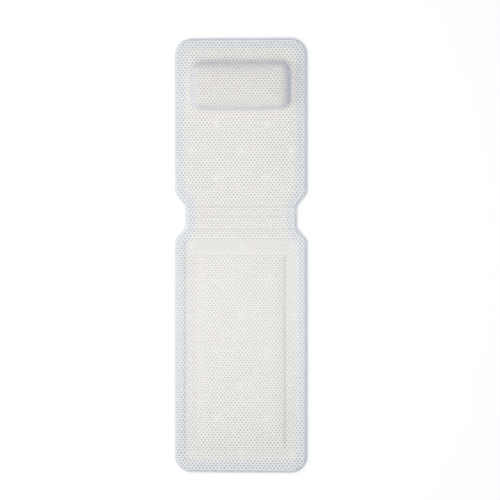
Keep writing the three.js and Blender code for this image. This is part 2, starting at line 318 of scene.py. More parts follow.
@dataclass(frozen=True)
class CloseMesh:
    """The underside cloth: a plain pale mesh, flatter than the cover."""

    thread: Colour = (0.79, 0.79, 0.785)
    shade: Colour = (0.7505, 0.7505, 0.74575)
    hole: Colour = (0.50, 0.50, 0.51)
    pitch: float = 0.0014
    cloud_cells: float = 14.0
    relief: float = 0.0002

    def material(self, name: str) -> Material:
        """Build the finish: a plain weave bump and darker pinholes from the hole attribute."""
        graph, material = Graph.of_material(name)
        x, y = graph.pair(graph.place())
        weave = (x * (FULL_TURN / self.pitch)).sine() * (y * (FULL_TURN / self.pitch)).sine()
        cloud = graph.noise(self.cloud_cells)
        colour = graph.mixed(cloud, self.thread, self.shade)
        graph.finish({
            "Base Color": graph.mixed(graph.attribute("hole"), colour, self.hole),
            "Roughness": 0.74 + 0.1 * cloud,
            "Specular IOR Level": 0.3,
            "Normal": graph.bump(weave, self.relief, 0.5),
        })
        return material


@dataclass(frozen=True)
class EdgeTape:
    """The binding tape: white twill with painted cool shade in its colour, and a row of stitches near its
    inner edge.
    """

    # Painted cool shade: the twill's blue cast stands in for the cool light on the mat's edges.
    twill: Colour = (0.757, 0.793, 0.852)
    shade: Colour = (0.72672, 0.76128, 0.81792)
    thread: Colour = (0.80, 0.82, 0.85)
    rib: float = 0.0009
    stitch: float = 0.0036
    stitch_share: float = 0.68
    stitch_width: float = 0.0005
    stitch_line: float = 0.0024
    cloud_cells: float = 40.0
    relief: float = 0.0002

    def material(self, name: str) -> Material:
        """Build the finish: slanting ribs along the tape, and raised dashes on the stitch line."""
        graph, material = Graph.of_material(name)
        along, around = graph.pair(graph.node("ShaderNodeUVMap", {"uv_map": "tape"}).outputs["UV"])
        ribs = ((along + around) * (FULL_TURN / self.rib)).sine()
        dash = (along * (1.0 / self.stitch)).fraction() < self.stitch_share
        stitched = dash * ((around - self.stitch_line).size() < self.stitch_width)
        cloud = graph.noise(self.cloud_cells)
        colour = graph.mixed(cloud, self.twill, self.shade)
        graph.finish({
            "Base Color": graph.mixed(stitched, colour, self.thread),
            "Roughness": 0.62 + 0.12 * cloud,
            "Specular IOR Level": 0.35,
            "Normal": graph.bump(ribs * 0.3 + stitched * 1.5, self.relief, 0.6),
        })
        return material


@dataclass(frozen=True)
class ClearVinyl:
    """The suction cups' soft clear vinyl."""

    tint: Colour = (0.93, 0.96, 0.97)
    skin_cells: float = 180.0
    relief: float = 0.0002

    def material(self, name: str) -> Material:
        """Build the finish: clear, glossy, with a faint uneven moulded skin."""
        graph, material = Graph.of_material(name)
        skin = graph.noise(self.skin_cells)
        graph.finish({
            "Base Color": rgba(self.tint),
            "Roughness": 0.06 + 0.12 * skin,
            "IOR": 1.48,
            "Transmission Weight": 0.86,
            "Normal": graph.bump(skin, self.relief, 0.25),
        })
        return material


@dataclass(frozen=True)
class RoundedRectangle:
    """A rectangle in plan with round corners, and how finely its outline is drawn."""

    low: tuple[float, float]
    high: tuple[float, float]
    corner: float
    spacing: float = 0.003
    corner_points: int = 28

    def _from_middle(self, x: Array, y: Array) -> tuple[Array, Array]:
        """How far to the right of the middle and above it a point lies."""
        return x - (self.low[0] + self.high[0]) / 2.0, y - (self.low[1] + self.high[1]) / 2.0

    def _reach(self, x: Array, y: Array) -> tuple[Array, Array]:
        """How far a point lies past the straight stretch of the outline, across and along."""
        right, above = self._from_middle(x, y)
        across = np.abs(right) - ((self.high[0] - self.low[0]) / 2.0 - self.corner)
        along = np.abs(above) - ((self.high[1] - self.low[1]) / 2.0 - self.corner)
        return across, along

    def inside(self, x: Array, y: Array) -> Array:
        """How far in from the outline a point lies, negative outside it."""
        across, along = self._reach(x, y)
        out = np.hypot(np.maximum(across, 0.0), np.maximum(along, 0.0))
        return self.corner - out - np.minimum(np.maximum(across, along), 0.0)

    def outward(self, x: Array, y: Array) -> tuple[Array, Array]:
        """The direction from a point straight out to the outline."""
        across, along = self._reach(x, y)
        cornered = (across > 0.0) & (along > 0.0)
        length = np.maximum(np.hypot(across, along), 1e-9)
        beside = across > along
        out_x = np.where(cornered, across / length, beside.astype(float))
        out_y = np.where(cornered, along / length, (~beside).astype(float))
        right, above = self._from_middle(x, y)
        return out_x * np.sign(right), out_y * np.sign(above)

    def ring(self, inset: float) -> Array:
        """The outline taken in by inset, as points once round from the middle of its right side."""
        low, high = np.array(self.low), np.array(self.high)
        half = (high - low) / 2.0
        straight = half - self.corner
        up = np.linspace(0.0, straight[1], int(straight[1] / self.spacing) + 2)[:-1]
        back = np.linspace(straight[0], 0.0, int(straight[0] / self.spacing) + 2)[1:]
        angle = np.linspace(0.0, QUARTER_TURN, self.corner_points)
        quarter = np.concatenate([
            np.stack([np.full(len(up), half[0] - inset), up], axis=-1),
            straight + (self.corner - inset) * np.stack([np.cos(angle), np.sin(angle)], axis=-1),
            np.stack([back, np.full(len(back), half[1] - inset)], axis=-1),
        ])
        top = np.concatenate([quarter, quarter[-2::-1] * MIRROR])
        return (low + high) / 2.0 + np.concatenate([top, top[-2:0:-1] * -MIRROR])


@dataclass(frozen=True)
class MatPlan:
    """The mat's outline and creases seen from above."""

    half_width: float
    waist_half: float
    half_length: float
    lower_crease: float
    middle_crease: float
    upper_crease: float
    axis_height: float
    corner: float = 0.050
    back_lead: float = 0.0085
    back_flare: float = 0.046
    seat_lead: float = 0.0135
    seat_flare: float = 0.038
    flare_margin: float = 0.060
    station: float = 0.002
    halvings: int = 9

    @classmethod
    def from_frame(cls) -> "MatPlan":
        """Read the sizes from the CAD boxes and the hinges."""
        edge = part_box("back_edge_binding")[1]
        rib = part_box("lower_rib_binding_right")[1]
        hinges = {joint["name"]: joint["pos_m"] for joint in frame["joints"]}
        return cls(
            half_width=edge.x,
            waist_half=rib.x,
            half_length=edge.y,
            lower_crease=hinges["lower_crease_fold"][1],
            middle_crease=hinges["middle_crease_fold"][1],
            upper_crease=hinges["upper_crease_fold"][1],
            axis_height=hinges["middle_crease_fold"][2],
        )

    def beyond_waist(self, y: Array) -> Array:
        """How far a point lies past the outer creases, negative between them."""
        return np.maximum(y - self.upper_crease, self.lower_crease - y)

    def crease_distance(self, y: Array) -> Array:
        """How far a point lies from the nearest crease."""
        outer = np.minimum(np.abs(y - self.lower_crease), np.abs(y - self.upper_crease))
        return np.minimum(outer, np.abs(y - self.middle_crease))

    def flare(self, y: Array) -> tuple[Array, Array]:
        """Half the width at each y, and how fast it grows away from the waist: half a cosine wave.

        The wave starts a little inside the waist, by its lead, and ends past the crease.

        Args:
            y: Places along the mat.

        Returns:
            Half the width and the slope at each place.
        """
        lead = np.where(y > self.middle_crease, self.back_lead, self.seat_lead)
        length = lead + np.where(y > self.middle_crease, self.back_flare, self.seat_flare)
        share = np.clip((self.beyond_waist(y) + lead) / length, 0.0, 1.0)
        grown = self.half_width - self.waist_half
        half = self.waist_half + grown * (1.0 - np.cos(np.pi * share)) / 2.0
        slope = grown * QUARTER_TURN * np.sin(np.pi * share) / length
        return half, slope

    def _beside_waist(self, y: Array) -> Array:
        """True from a margin below the lower flare to a margin above the upper one."""
        low = self.lower_crease - self.seat_flare - self.flare_margin
        high = self.upper_crease + self.back_flare + self.flare_margin
        return (y > low) & (y < high)

    def _flare_distance(self, x: Array, y: Array) -> Array:
        """How far in from a flared side a point lies.

        The nearest place on the side is found among even stations, and then in steps that halve.

        Args:
            x: Places across the mat.
            y: Places along the mat.

        Returns:
            The distance at each place, negative outside.
        """
        across = np.abs(x)[:, None]
        along = y[:, None]
        stations = np.arange(-self.half_length, self.half_length, self.station)
        stations = stations[self._beside_waist(stations)]
        tries = np.broadcast_to(stations, (len(x), len(stations)))
        for step in self.station / 2.0 * 0.5 ** np.arange(self.halvings):
            away = np.hypot(across - self.flare(tries)[0], along - tries)
            best = np.take_along_axis(tries, away.argmin(axis=1)[:, None], axis=1)
            tries = best + step * np.array([-1.0, 0.0, 1.0])
        return np.sign(self.flare(y)[0] - np.abs(x)) * away.min(axis=1)

    def edge_distance(self, x: Array, y: Array) -> Array:
        """How far in from the outline a point lies: square to a side or end, or from a corner's arc."""
        side = self.flare(y)[0] - np.abs(x)
        flared = self._beside_waist(y)
        side[flared] = self._flare_distance(x[flared], y[flared])
        end = self.half_length - np.abs(y)
        past_x = np.abs(x) - (self.half_width - self.corner)
        past_y = np.abs(y) - (self.half_length - self.corner)
        arc = self.corner - np.hypot(past_x, past_y)
        return np.where((past_x > 0.0) & (past_y > 0.0), arc, np.minimum(side, end))


@dataclass
class SwellField:
    """How far a simulated sheet moved, on an even grid that is read smoothly between its points."""

    origin: tuple[float, float]
    step: tuple[float, float]
    moves: Array

    @staticmethod
    def _weights(share: Array) -> list[Array]:
        """The four weights of a cubic B-spline at a share of the way from one grid point to the next."""
        rest = 1.0 - share
        return [
            rest**3 / 6.0,
            (3.0 * share**3 - 6.0 * share**2 + 4.0) / 6.0,
            (3.0 * rest**3 - 6.0 * rest**2 + 4.0) / 6.0,
            share**3 / 6.0,
        ]

    def at(self, x: Array, y: Array) -> Array:
        """The move at each point, as the sixteen nearest grid moves under B-spline weights."""
        rows, columns, _ = self.moves.shape
        across = (x - self.origin[0]) / self.step[0]
        along = (y - self.origin[1]) / self.step[1]
        column = np.clip(np.floor(across).astype(int), 0, columns - 2)
        row = np.clip(np.floor(along).astype(int), 0, rows - 2)
        across_weights = self._weights(np.clip(across - column, 0.0, 1.0))
        along_weights = self._weights(np.clip(along - row, 0.0, 1.0))
        total = np.zeros(x.shape + (3,))
        for j, along_weight in enumerate(along_weights):
            near_row = np.clip(row + j - 1, 0, rows - 1)
            for i, across_weight in enumerate(across_weights):
                near_column = np.clip(column + i - 1, 0, columns - 1)
                total += (along_weight * across_weight)[..., None] * self.moves[near_row, near_column]
        return total


@dataclass(frozen=True)
class ClothSwelling:
    """A cloth simulation that swells a sewn-down sheet with pressure from inside."""

    pressure: float
    cap: float
    stiffness: float = 15.0
    mass: float = 0.25
    frames: int = 20

    def run(self, name: str, points: Array, sewn: Array) -> Array:
        """Simulate a sheet and measure how far each point moves.

        Args:
            name: A name for the sheet while it exists.
            points: Grid points by row and column, with x, y and z.
            sewn: True where a point is held.

        Returns:
            Moves by row and column, eased so that none is longer than the cap.
        """
        rows, columns = sewn.shape
        index = np.arange(rows * columns).reshape(rows, columns)
        corners = [index[:-1, :-1], index[:-1, 1:], index[1:, 1:], index[1:, :-1]]
        sheet = new_piece(name, points.reshape(-1, 3), [np.stack(corners, axis=-1).reshape(-1, 4)])
        held = sheet.vertex_groups.new(name="sewn")
        held.add(index[sewn].tolist(), 1.0, "REPLACE")
        cloth = sheet.modifiers.new("swelling", "CLOTH")
        cloth.settings.vertex_group_mass = "sewn"
        cloth.settings.mass = self.mass
        cloth.settings.tension_stiffness = self.stiffness
        cloth.settings.compression_stiffness = self.stiffness
        cloth.settings.use_pressure = True
        cloth.settings.uniform_pressure_force = self.pressure
        cloth.settings.effector_weights.gravity = 0.0
        cloth.point_cache.frame_start = 1
        cloth.point_cache.frame_end = self.frames
        scene = bpy.context.scene
        for step in range(1, self.frames + 1):
            scene.frame_set(step)
        shaped = sheet.evaluated_get(bpy.context.evaluated_depsgraph_get())
        swollen = np.empty(rows * columns * 3, np.float32)
        shaped.to_mesh().vertices.foreach_get("co", swollen)
        shaped.to_mesh_clear()
        bpy.data.objects.remove(sheet, do_unlink=True)
        scene.frame_set(1)
        moves = swollen.reshape(rows, columns, 3) - points
        reach = np.maximum(np.linalg.norm(moves, axis=-1, keepdims=True), 1e-9)
        LOG.info("%s swelled by up to %.1f mm before its cap", name, 1000.0 * reach.max())
        return moves * np.tanh(reach / self.cap) * self.cap / reach

    def field(
        self, name: str, across: Array, along: Array, surface: PlanFunction, sewn: PlanFunction
    ) -> SwellField:
        """Simulate a sheet on an even grid.

        Args:
            name: A name for the sheet while it exists.
            across: Even places across the sheet.
            along: Even places along it.
            surface: Gives the sheet's points.
            sewn: Tells which points are held.

        Returns:
            How far the sheet moves.
        """
        u, v = np.meshgrid(across, along)
        moves = self.run(name, surface(u, v), sewn(u, v))
        return SwellField((across[0], along[0]), (across[1] - across[0], along[1] - along[0]), moves)


@dataclass(frozen=True)
class HoleShape:
    """A round hole of the mesh, as rings from its rim down to its floor."""

    radii: tuple[float, ...]
    shares: tuple[float, ...]
    depth: float


COVER_HOLE = HoleShape((0.00275, 0.0022, 0.0016), (0.06, 0.62, 1.0), 0.0018)
PIN_HOLE = HoleShape((0.0017,), (1.0,), 0.0006)


@dataclass
class LatticeSheet:
    """A sheet of holes in plan: points, the middle and depth share of each point's hole, and faces."""

    plan: Array
    middle: Array
    share: Array
    faces: list[Array]


@dataclass
class SheetEdge:
    """A sheet's border in plan: its outline, points that fill the border, and distances in from its rim.

    No hole's middle comes closer to the rim than closest: holes that would are moved in, or left out.
    """

    outline: Array
    fill: Array
    inside: PlanFunction
    closest: float


@dataclass
class HoleLattice:
    """Rows of round holes, each row set half a hole along, inside an outline.

    A row is a line of cells, and each cell has eight corners: four where it meets the rows beside it,
    two half way along its long sides and two half way up its short ones. Rings of eight points lead
    from these to the hole. In the border along the outline, close triangles round the rims of the holes
    take the place of the cells. Where the cloth leans, each hole is drawn narrower in plan, by its
    upward share, so that it stays round.
    """

    columns: Array
    lines: Array
    first_row: int
    edge: SheetEdge
    hole: HoleShape
    lean: PlanFunction | None = None
    border: float = 0.013
    reach: float = 0.0022
    slack: float = 0.0003
    fill_room: float = 1.22
    rim_room: float = 0.9
    cell: int = 8
    nowhere: float = 9.0

    def _cells(self) -> tuple[Array, Array]:
        """Lay out the cells.

        Returns:
            The points of the lines and then those half way up each row, and each cell's corners by row
            and column.
        """
        count = len(self.columns)
        middles = (self.lines[1:] + self.lines[:-1]) / 2.0
        across, along = np.meshgrid(self.columns, np.concatenate([self.lines, middles]))
        row = np.arange(len(middles))[:, None]
        left = 2 * np.arange(count // 2 + 1)[None, :] - (self.first_row + row) % 2
        near, mid, far = (np.clip(left + step, 0, count - 1) for step in (0, 1, 2))
        below, above, beside = row * count, (row + 1) * count, (row + len(self.lines)) * count
        loop = [below + near, below + mid, below + far, beside + far]
        loop += [above + far, above + mid, above + near, beside + near]
        return np.stack([across.ravel(), along.ravel()], axis=-1), np.stack(loop, axis=-1)

    def _holes(self, grid: Array, corners: Array) -> tuple[Array, Array, Array, Array]:
        """Choose where the holes go.

        Args:
            grid: The points of the cells.
            corners: Each cell's corners by row and column.

        Returns:
            By row and column: whether a cell is whole, whether it has a hole in the border, the middle
            of its hole, and the cloth's outward direction there.
        """
        full = corners[..., 2] - corners[..., 0] == 2
        whole = full & (self.edge.inside(*grid.T)[corners].min(axis=-1) > self.border)
        centre = (grid[corners[..., 3]] + grid[corners[..., 7]]) / 2.0
        depth = self.edge.inside(centre[..., 0], centre[..., 1])
        short = np.clip(self.edge.closest - depth, 0.0, self.reach)
        centre[..., 0] -= np.sign(centre[..., 0]) * short
        depth = self.edge.inside(centre[..., 0], centre[..., 1])
        rimmed = full & ~whole & (depth > self.edge.closest - self.slack)
        centre[~(whole | rimmed)] = self.nowhere
        lean = np.zeros(full.shape + (3,)) + np.array([0.0, 0.0, 1.0])
        if self.lean is not None:
            lean[whole | rimmed] = self.lean(*centre[whole | rimmed].T)
        return whole, rimmed, centre, lean

    def _rings(self, middles: Array, lean: Array) -> list[Array]:
        """The rings of each hole, drawn in plan as circles on the leaning cloth."""
        angle = np.radians((225.0 + 45.0 * np.arange(self.cell)) % 360.0)
        circle = np.stack([np.cos(angle), np.sin(angle)], axis=-1)
        slope, upward = lean[:, None, :2], lean[:, None, 2:]
        uphill = (circle * slope).sum(axis=-1, keepdims=True) / (1.0 + upward)
        drawn = circle - slope * uphill
        return [(middles[:, None, :] + radius * drawn).reshape(-1, 2) for radius in self.hole.radii]

    def _bands(self, cells: Array, loops: list[Array]) -> list[Array]:
        """The faces from whole cells and rims down the rings of their holes, and the holes' floors."""
        after = np.roll(np.arange(self.cell), -1)
        outers = [cells] + loops[:-1]
        inners = [loops[0][:len(cells)]] + loops[1:]
        bands = [
            np.stack([outer, outer[:, after], inner[:, after], inner], axis=-1).reshape(-1, 4)
            for outer, inner in zip(outers, inners)
        ]
        floors = [[1, 2, 4, 5], [5, 6, 0, 1], [2, 3, 4], [6, 7, 0]]
        return bands + [loops[-1][:, floor] for floor in floors]

    def build(self) -> LatticeSheet:
        """Work out the points and faces of the sheet.

        Returns:
            The sheet: cells with holes, and the border with its holes, without unused points.
        """
        grid, corners = self._cells()
        whole, rimmed, centre, lean = self._holes(grid, corners)
        middles = np.concatenate([centre[whole], centre[rimmed]])
        rings = self._rings(middles, np.concatenate([lean[whole], lean[rimmed]]))
        fill = self.edge.fill
        fill = fill[self._from_hole(fill, centre, lean)[0] > self.fill_room * self.hole.radii[0]]
        plan = np.concatenate([grid] + rings + [self.edge.outline, fill])
        middle = plan.copy()
        share = np.zeros(len(plan))
        size = self.cell * len(middles)
        loops = []
        for number, depth in enumerate(self.hole.shares):
            first = len(grid) + number * size
            middle[first:first + size] = np.repeat(middles, self.cell, axis=0)
            share[first:first + size] = depth
            loops.append(first + np.arange(size).reshape(-1, self.cell))
        cells = corners[whole]
        outline = len(grid) + len(rings) * size
        triangles = self._triangles(plan, cells, loops[0][len(cells):], outline)
        place = plan[triangles].mean(axis=1)
        from_hole, at = self._from_hole(place, centre, lean)
        least = self.edge.inside(*self.edge.outline.T).min() - 2e-5
        border = ~whole[at] & (from_hole > self.rim_room * self.hole.radii[0])
        border = border & (self.edge.inside(*place.T) >= least)
        return self._compact(plan, middle, share, self._bands(cells, loops) + [triangles[border]])

    def _from_hole(self, place: Array, centre: Array, lean: Array) -> tuple[Array, tuple[Array, Array]]:
        """Measure, along the leaning cloth, how far places are from the hole of the cell they lie in.

        Args:
            place: Places in plan.
            centre: The middle of each cell's hole, by row and column.
            lean: The cloth's outward direction there.

        Returns:
            The distances, and the row and column of each place's cell.
        """
        line = np.searchsorted(self.lines, place[:, 1], "right") - 1
        line = np.clip(line, 0, len(self.lines) - 2)
        half = np.searchsorted(self.columns, place[:, 0], "right") - 1
        half = np.clip(half, 0, len(self.columns) - 2)
        at = (line, (half + (self.first_row + line) % 2) // 2)
        away = place - centre[at]
        slope, upward = lean[at][:, :2], lean[at][:, 2:]
        away = away + slope * (away * slope).sum(axis=-1, keepdims=True) / (upward * (1.0 + upward))
        return np.hypot(*away.T), at

    def _triangles(self, plan: Array, cells: Array, rims: Array, first: int) -> Array:
        """Triangulate what lies round the whole cells and the rims of the border's holes.

        Args:
            plan: Every point, the outline and the border's own points last.
            cells: The eight corners of each whole cell.
            rims: The eight points of each rim in the border.
            first: The first point of the outline.

        Returns:
            Triangles that face up, as three points each, some of them outside the border.
        """
        sides, seen = np.unique(np.sort(self._sides(cells), axis=1), axis=0, return_counts=True)
        block = sides[seen == 1]
        chosen = np.concatenate([np.unique(block), rims.ravel(), np.arange(first, len(plan))])
        spot = np.zeros(len(plan), int)
        spot[chosen] = np.arange(len(chosen))
        outline = np.arange(first, first + len(self.edge.outline))
        edges = spot[np.concatenate([block, self._sides(rims), self._sides(outline)])]
        points = [Vector(point) for point in plan[chosen].tolist()]
        found = delaunay_2d_cdt(points, edges.tolist(), [], 0, 1e-6)
        source = np.array([chosen[ids[0]] for ids in found[3]])
        triangles = source[np.array(found[2])]
        ahead = plan[triangles[:, 1]] - plan[triangles[:, 0]]
        aside = plan[triangles[:, 2]] - plan[triangles[:, 0]]
        area = (ahead[:, 0] * aside[:, 1] - ahead[:, 1] * aside[:, 0]) / 2.0
        turned = np.where((area > 0.0)[:, None], triangles, triangles[:, ::-1])
        return turned[np.abs(area) > 1e-10]

    @staticmethod
    def _sides(loops: Array) -> Array:
        """The sides of closed loops of points, as pairs of neighbours."""
        return np.stack([loops, np.roll(loops, -1, axis=-1)], axis=-1).reshape(-1, 2)

    @staticmethod
    def _compact(plan: Array, middle: Array, share: Array, faces: list[Array]) -> LatticeSheet:
        """Leave out the points that no face uses."""
        used = np.unique(np.concatenate([block.ravel() for block in faces]))
        place = np.full(len(plan), -1)
        place[used] = np.arange(len(used))
        return LatticeSheet(plan[used], middle[used], share[used], [place[block] for block in faces])


@dataclass
class MatRelief:
    """The cover's upper surface: padded borders, the pressed channel, the pad, the ribs and the creases."""

    plan: MatPlan
    cups: Array
    edge_level: float
    rib_top: float
    padding_top: float
    crown_top: float
    channel_outer: RoundedRectangle
    channel_inner: RoundedRectangle
    channel_drop: float = 0.0040
    channel_shoulder: float = 0.0045
    channel_power: float = 2.2
    foot_run: float = 0.030
    foot_eased: float = 0.55
    seam: float = 0.0034
    shoulder: float = 0.0056
    shoulder_power: float = 2.6
    panel_step: Run = (0.006, 0.010)
    crown_gap: float = 0.010
    crown_width: float = 0.034
    groove_half: float = 0.0046
    groove_drop: float = 0.0050
    groove_power: float = 1.6
    weld_radius: float = 0.009
    weld_drop: float = 0.0009
    ripple_rise: float = 0.0004
    bead_rise: float = 0.0011
    bead_gap: float = 0.0055
    bead_half: float = 0.0034
    bead_margin: float = 0.002
    bead_left: float = 0.014
    bead_right: float = 0.008
    open_from_tape: Run = (0.0050, 0.0025)
    closed_left: float = 0.08
    closed_more: float = 0.42
    closed_along: Run = (-0.45, 0.45)
    closed_across: Run = (-0.10, 0.20)
    closed_head: float = 0.36
    closed_foot: float = 0.20
    closed_weld: float = 0.6
    open_least: float = 0.67
    open_away: float = 0.24
    open_middle: float = -0.22
    away_run: Run = (0.08, 0.30)
    open_ends: float = 0.12
    ends_run: Run = (0.50, 0.08)
    open_rim: float = 0.14
    # Painted shade in the channel's recess and in the creases' grooves.
    painted_channel_shade: float = 0.13
    painted_crease_shade: float = 0.32
    crease_run: Run = (0.0005, 0.0024)
    # Where the painted cool shade over the border fades out.
    rim_shade_run: Run = (0.022, 0.018)
    swelling: ClothSwelling = ClothSwelling(pressure=0.8, cap=0.0035)
    swell_columns: int = 63
    swell_step: float = 0.006
    seat_swell: SwellField | None = None
    back_swell: SwellField | None = None

    def channel_share(self, x: Array, y: Array) -> Array:
        """How much of the channel's depth a point has: level on the pads, falling steeply to its foot."""
        outer = np.clip(1.0 + self.channel_outer.inside(x, y) / self.channel_shoulder, 0.0, 1.0)
        inner = np.clip(1.0 - self.channel_inner.inside(x, y) / self.channel_shoulder, 0.0, 1.0)
        return (outer * inner) ** self.channel_power

    def weld_share(self, x: Array, y: Array) -> Array:
        """How strongly the nearest cup's weld draws the cover down: a bell curve round each cup."""
        across = x[..., None] - self.cups[:, 0]
        along = y[..., None] - self.cups[:, 1]
        return np.exp(-(across**2 + along**2) / self.weld_radius**2).sum(axis=-1)

    def ridge(self, x: Array, y: Array) -> Array:
        """The bead beside the pad's head end: a bell curve, from the pad's left to the right border."""
        along = np.exp(-(((y - self.channel_inner.high[1] - self.bead_gap) / self.bead_half) ** 2))
        left = ramp(x, self.bead_margin - self.channel_inner.high[0], self.bead_left)
        last = self.channel_outer.high[0] - self.bead_margin
        return along * left * (1.0 - ramp(x, last - self.bead_right, self.bead_right))

    def height(self, x: Array, y: Array) -> Array:
        """The level of the cover.

        A crest steps up from the ribs to the panels. It gains the panels' crown, a faint ripple and the bead
        beside the pad. It loses the channel's depth, which is less at its foot, the creases' grooves and the
        dents at the cups' welds, and then falls to the sewn edge.

        Args:
            x: Places across the mat.
            y: Places along the mat.

        Returns:
            The level at each place.
        """
        edge = self.plan.edge_distance(x, y)
        beyond = self.plan.beyond_waist(y)
        panel = ramp(beyond, *self.panel_step)
        back_crown = np.minimum(edge, beyond) - self.crown_gap
        seat_crown = self.channel_inner.inside(x, y) - self.channel_shoulder
        crown = ramp(np.where(y > self.plan.middle_crease, back_crown, seat_crown), 0.0, self.crown_width)
        foot = 1.0 - ramp(y, self.channel_inner.low[1], self.foot_run)
        pressed = self.channel_share(x, y) * (1.0 - self.foot_eased * foot)
        groove = 1.0 - swell(self.plan.crease_distance(y) / self.groove_half, self.groove_power)
        ripple = np.sin(23.0 * x + 1.3 + 2.0 * np.sin(9.0 * y)) * np.sin(19.0 * y + 0.7)
        crest = self.rib_top + (self.padding_top - self.rib_top) * panel
        crest = crest + (self.crown_top - self.padding_top) * crown
        crest = crest - self.channel_drop * pressed - self.groove_drop * groove
        crest = crest - self.weld_drop * self.weld_share(x, y)
        crest = crest + self.ripple_rise * ripple * panel + self.bead_rise * self.ridge(x, y)
        risen = swell((edge - self.seam) / self.shoulder, self.shoulder_power)
        return self.edge_level + (crest - self.edge_level) * risen

    def surface(self, x: Array, y: Array) -> Array:
        """The cover's points: its level, and how far the simulated panels swelled."""
        points = np.stack([x, y, self.height(x, y)], axis=-1)
        panels = (
            (self.seat_swell, y < self.plan.lower_crease),
            (self.back_swell, y > self.plan.upper_crease),
        )
        for field, where in panels:
            if field is not None:
                points = points + np.where(where[..., None], field.at(x, y), 0.0)
        return points

    def normals(self, x: Array, y: Array) -> Array:
        """The cover's outward directions."""
        return directions(self.surface, x, y)

    def hole_strength(self, x: Array, y: Array) -> Array:
        """How open the holes are.

        They are closed by the tape and at the cups' welds, and pressed in the channel: most along its head
        end and the upper right, least at its left. They are a little fuller in the border and towards both
        ends of the mat.

        Args:
            x: Places across the mat.
            y: Places along the mat.

        Returns:
            A share of the full depth at each place.
        """
        by_tape = ramp(self.plan.edge_distance(x, y), *self.open_from_tape)
        rise = ramp(y, *self.closed_along) * ramp(x, *self.closed_across)
        closed = self.closed_left + self.closed_more * rise
        closed = np.where(y > self.channel_inner.high[1], self.closed_head, closed)
        closed = np.where(y < self.channel_inner.low[1], self.closed_foot, closed)
        pressed = 1.0 - closed * self.channel_share(x, y)
        welded = 1.0 - self.closed_weld * np.clip(self.weld_share(x, y), 0.0, 1.0)
        fuller = self.open_least + self.open_away * ramp(np.abs(y - self.open_middle), *self.away_run)
        fuller = fuller + self.open_ends * ramp(np.abs(y), *self.ends_run)
        fuller = fuller + self.open_rim * self.rim_painted_shade_share(x, y)
        return by_tape * pressed * welded * fuller

    def painted_shade_share(self, x: Array, y: Array) -> Array:
        """How much painted shade the cloth gets: a little in the channel, not on its bead, more in the
        creases.
        """
        crease = 1.0 - ramp(self.plan.crease_distance(y), *self.crease_run)
        channel = self.channel_share(x, y) * (1.0 - self.ridge(x, y))
        return self.painted_channel_shade * channel + self.painted_crease_shade * crease

    def rim_painted_shade_share(self, x: Array, y: Array) -> Array:
        """How much of the border's painted cool shade a point has: full over the border, gone 40 mm in. It
        also makes the holes there fuller.
        """
        return 1.0 - ramp(self.plan.edge_distance(x, y), *self.rim_shade_run)

    def swell_panel(self, name: str, low: float, high: float, still: PlanFunction) -> SwellField:
        """Simulate one panel's cover on a coarse grid.

        Args:
            name: A name for the panel.
            low: Where the panel starts along the mat.
            high: Where it ends.
            still: Tells which points are held down.

        Returns:
            How far the panel's points move.
        """
        across = np.linspace(-self.plan.half_width, self.plan.half_width, self.swell_columns)
        along = np.linspace(low, high, int(round((high - low) / self.swell_step)) + 1)
        return self.swelling.field(name, across, along, self.surface, still)


class Cloth(Enum):
    """The layers of a stretch of the mat, by the ends of their names."""

    COVER = "cover_cloth"
    UNDER = "under_cloth"
    TAPE = "trim_tape"


@dataclass(frozen=True)
class Stretch:
    """A stretch of the mat along its length, the bodies that carry it, and the CAD nodes it stands for."""

    name: str
    low: float
    high: float
    bodies: tuple[str, ...]
    crease: float
    covers: tuple[str, ...]
    unders: tuple[str, ...]
    tapes: tuple[str, ...]
    fold_reach: float = 0.007

    def piece(self, cloth: Cloth, points: Array, faces: Sequence[Array]) -> Piece:
        """Make the mesh object of one layer."""
        return new_piece(f"{self.name}_{cloth.value}", points, faces)

    def carry(self, piece: Piece) -> None:
        """Let a piece ride on the stretch's one body, or, where the stretch spans a crease, bake its place
        into its points.
        """
        if len(self.bodies) == 1:
            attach(piece, self.bodies[0])
        else:
            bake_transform(piece)


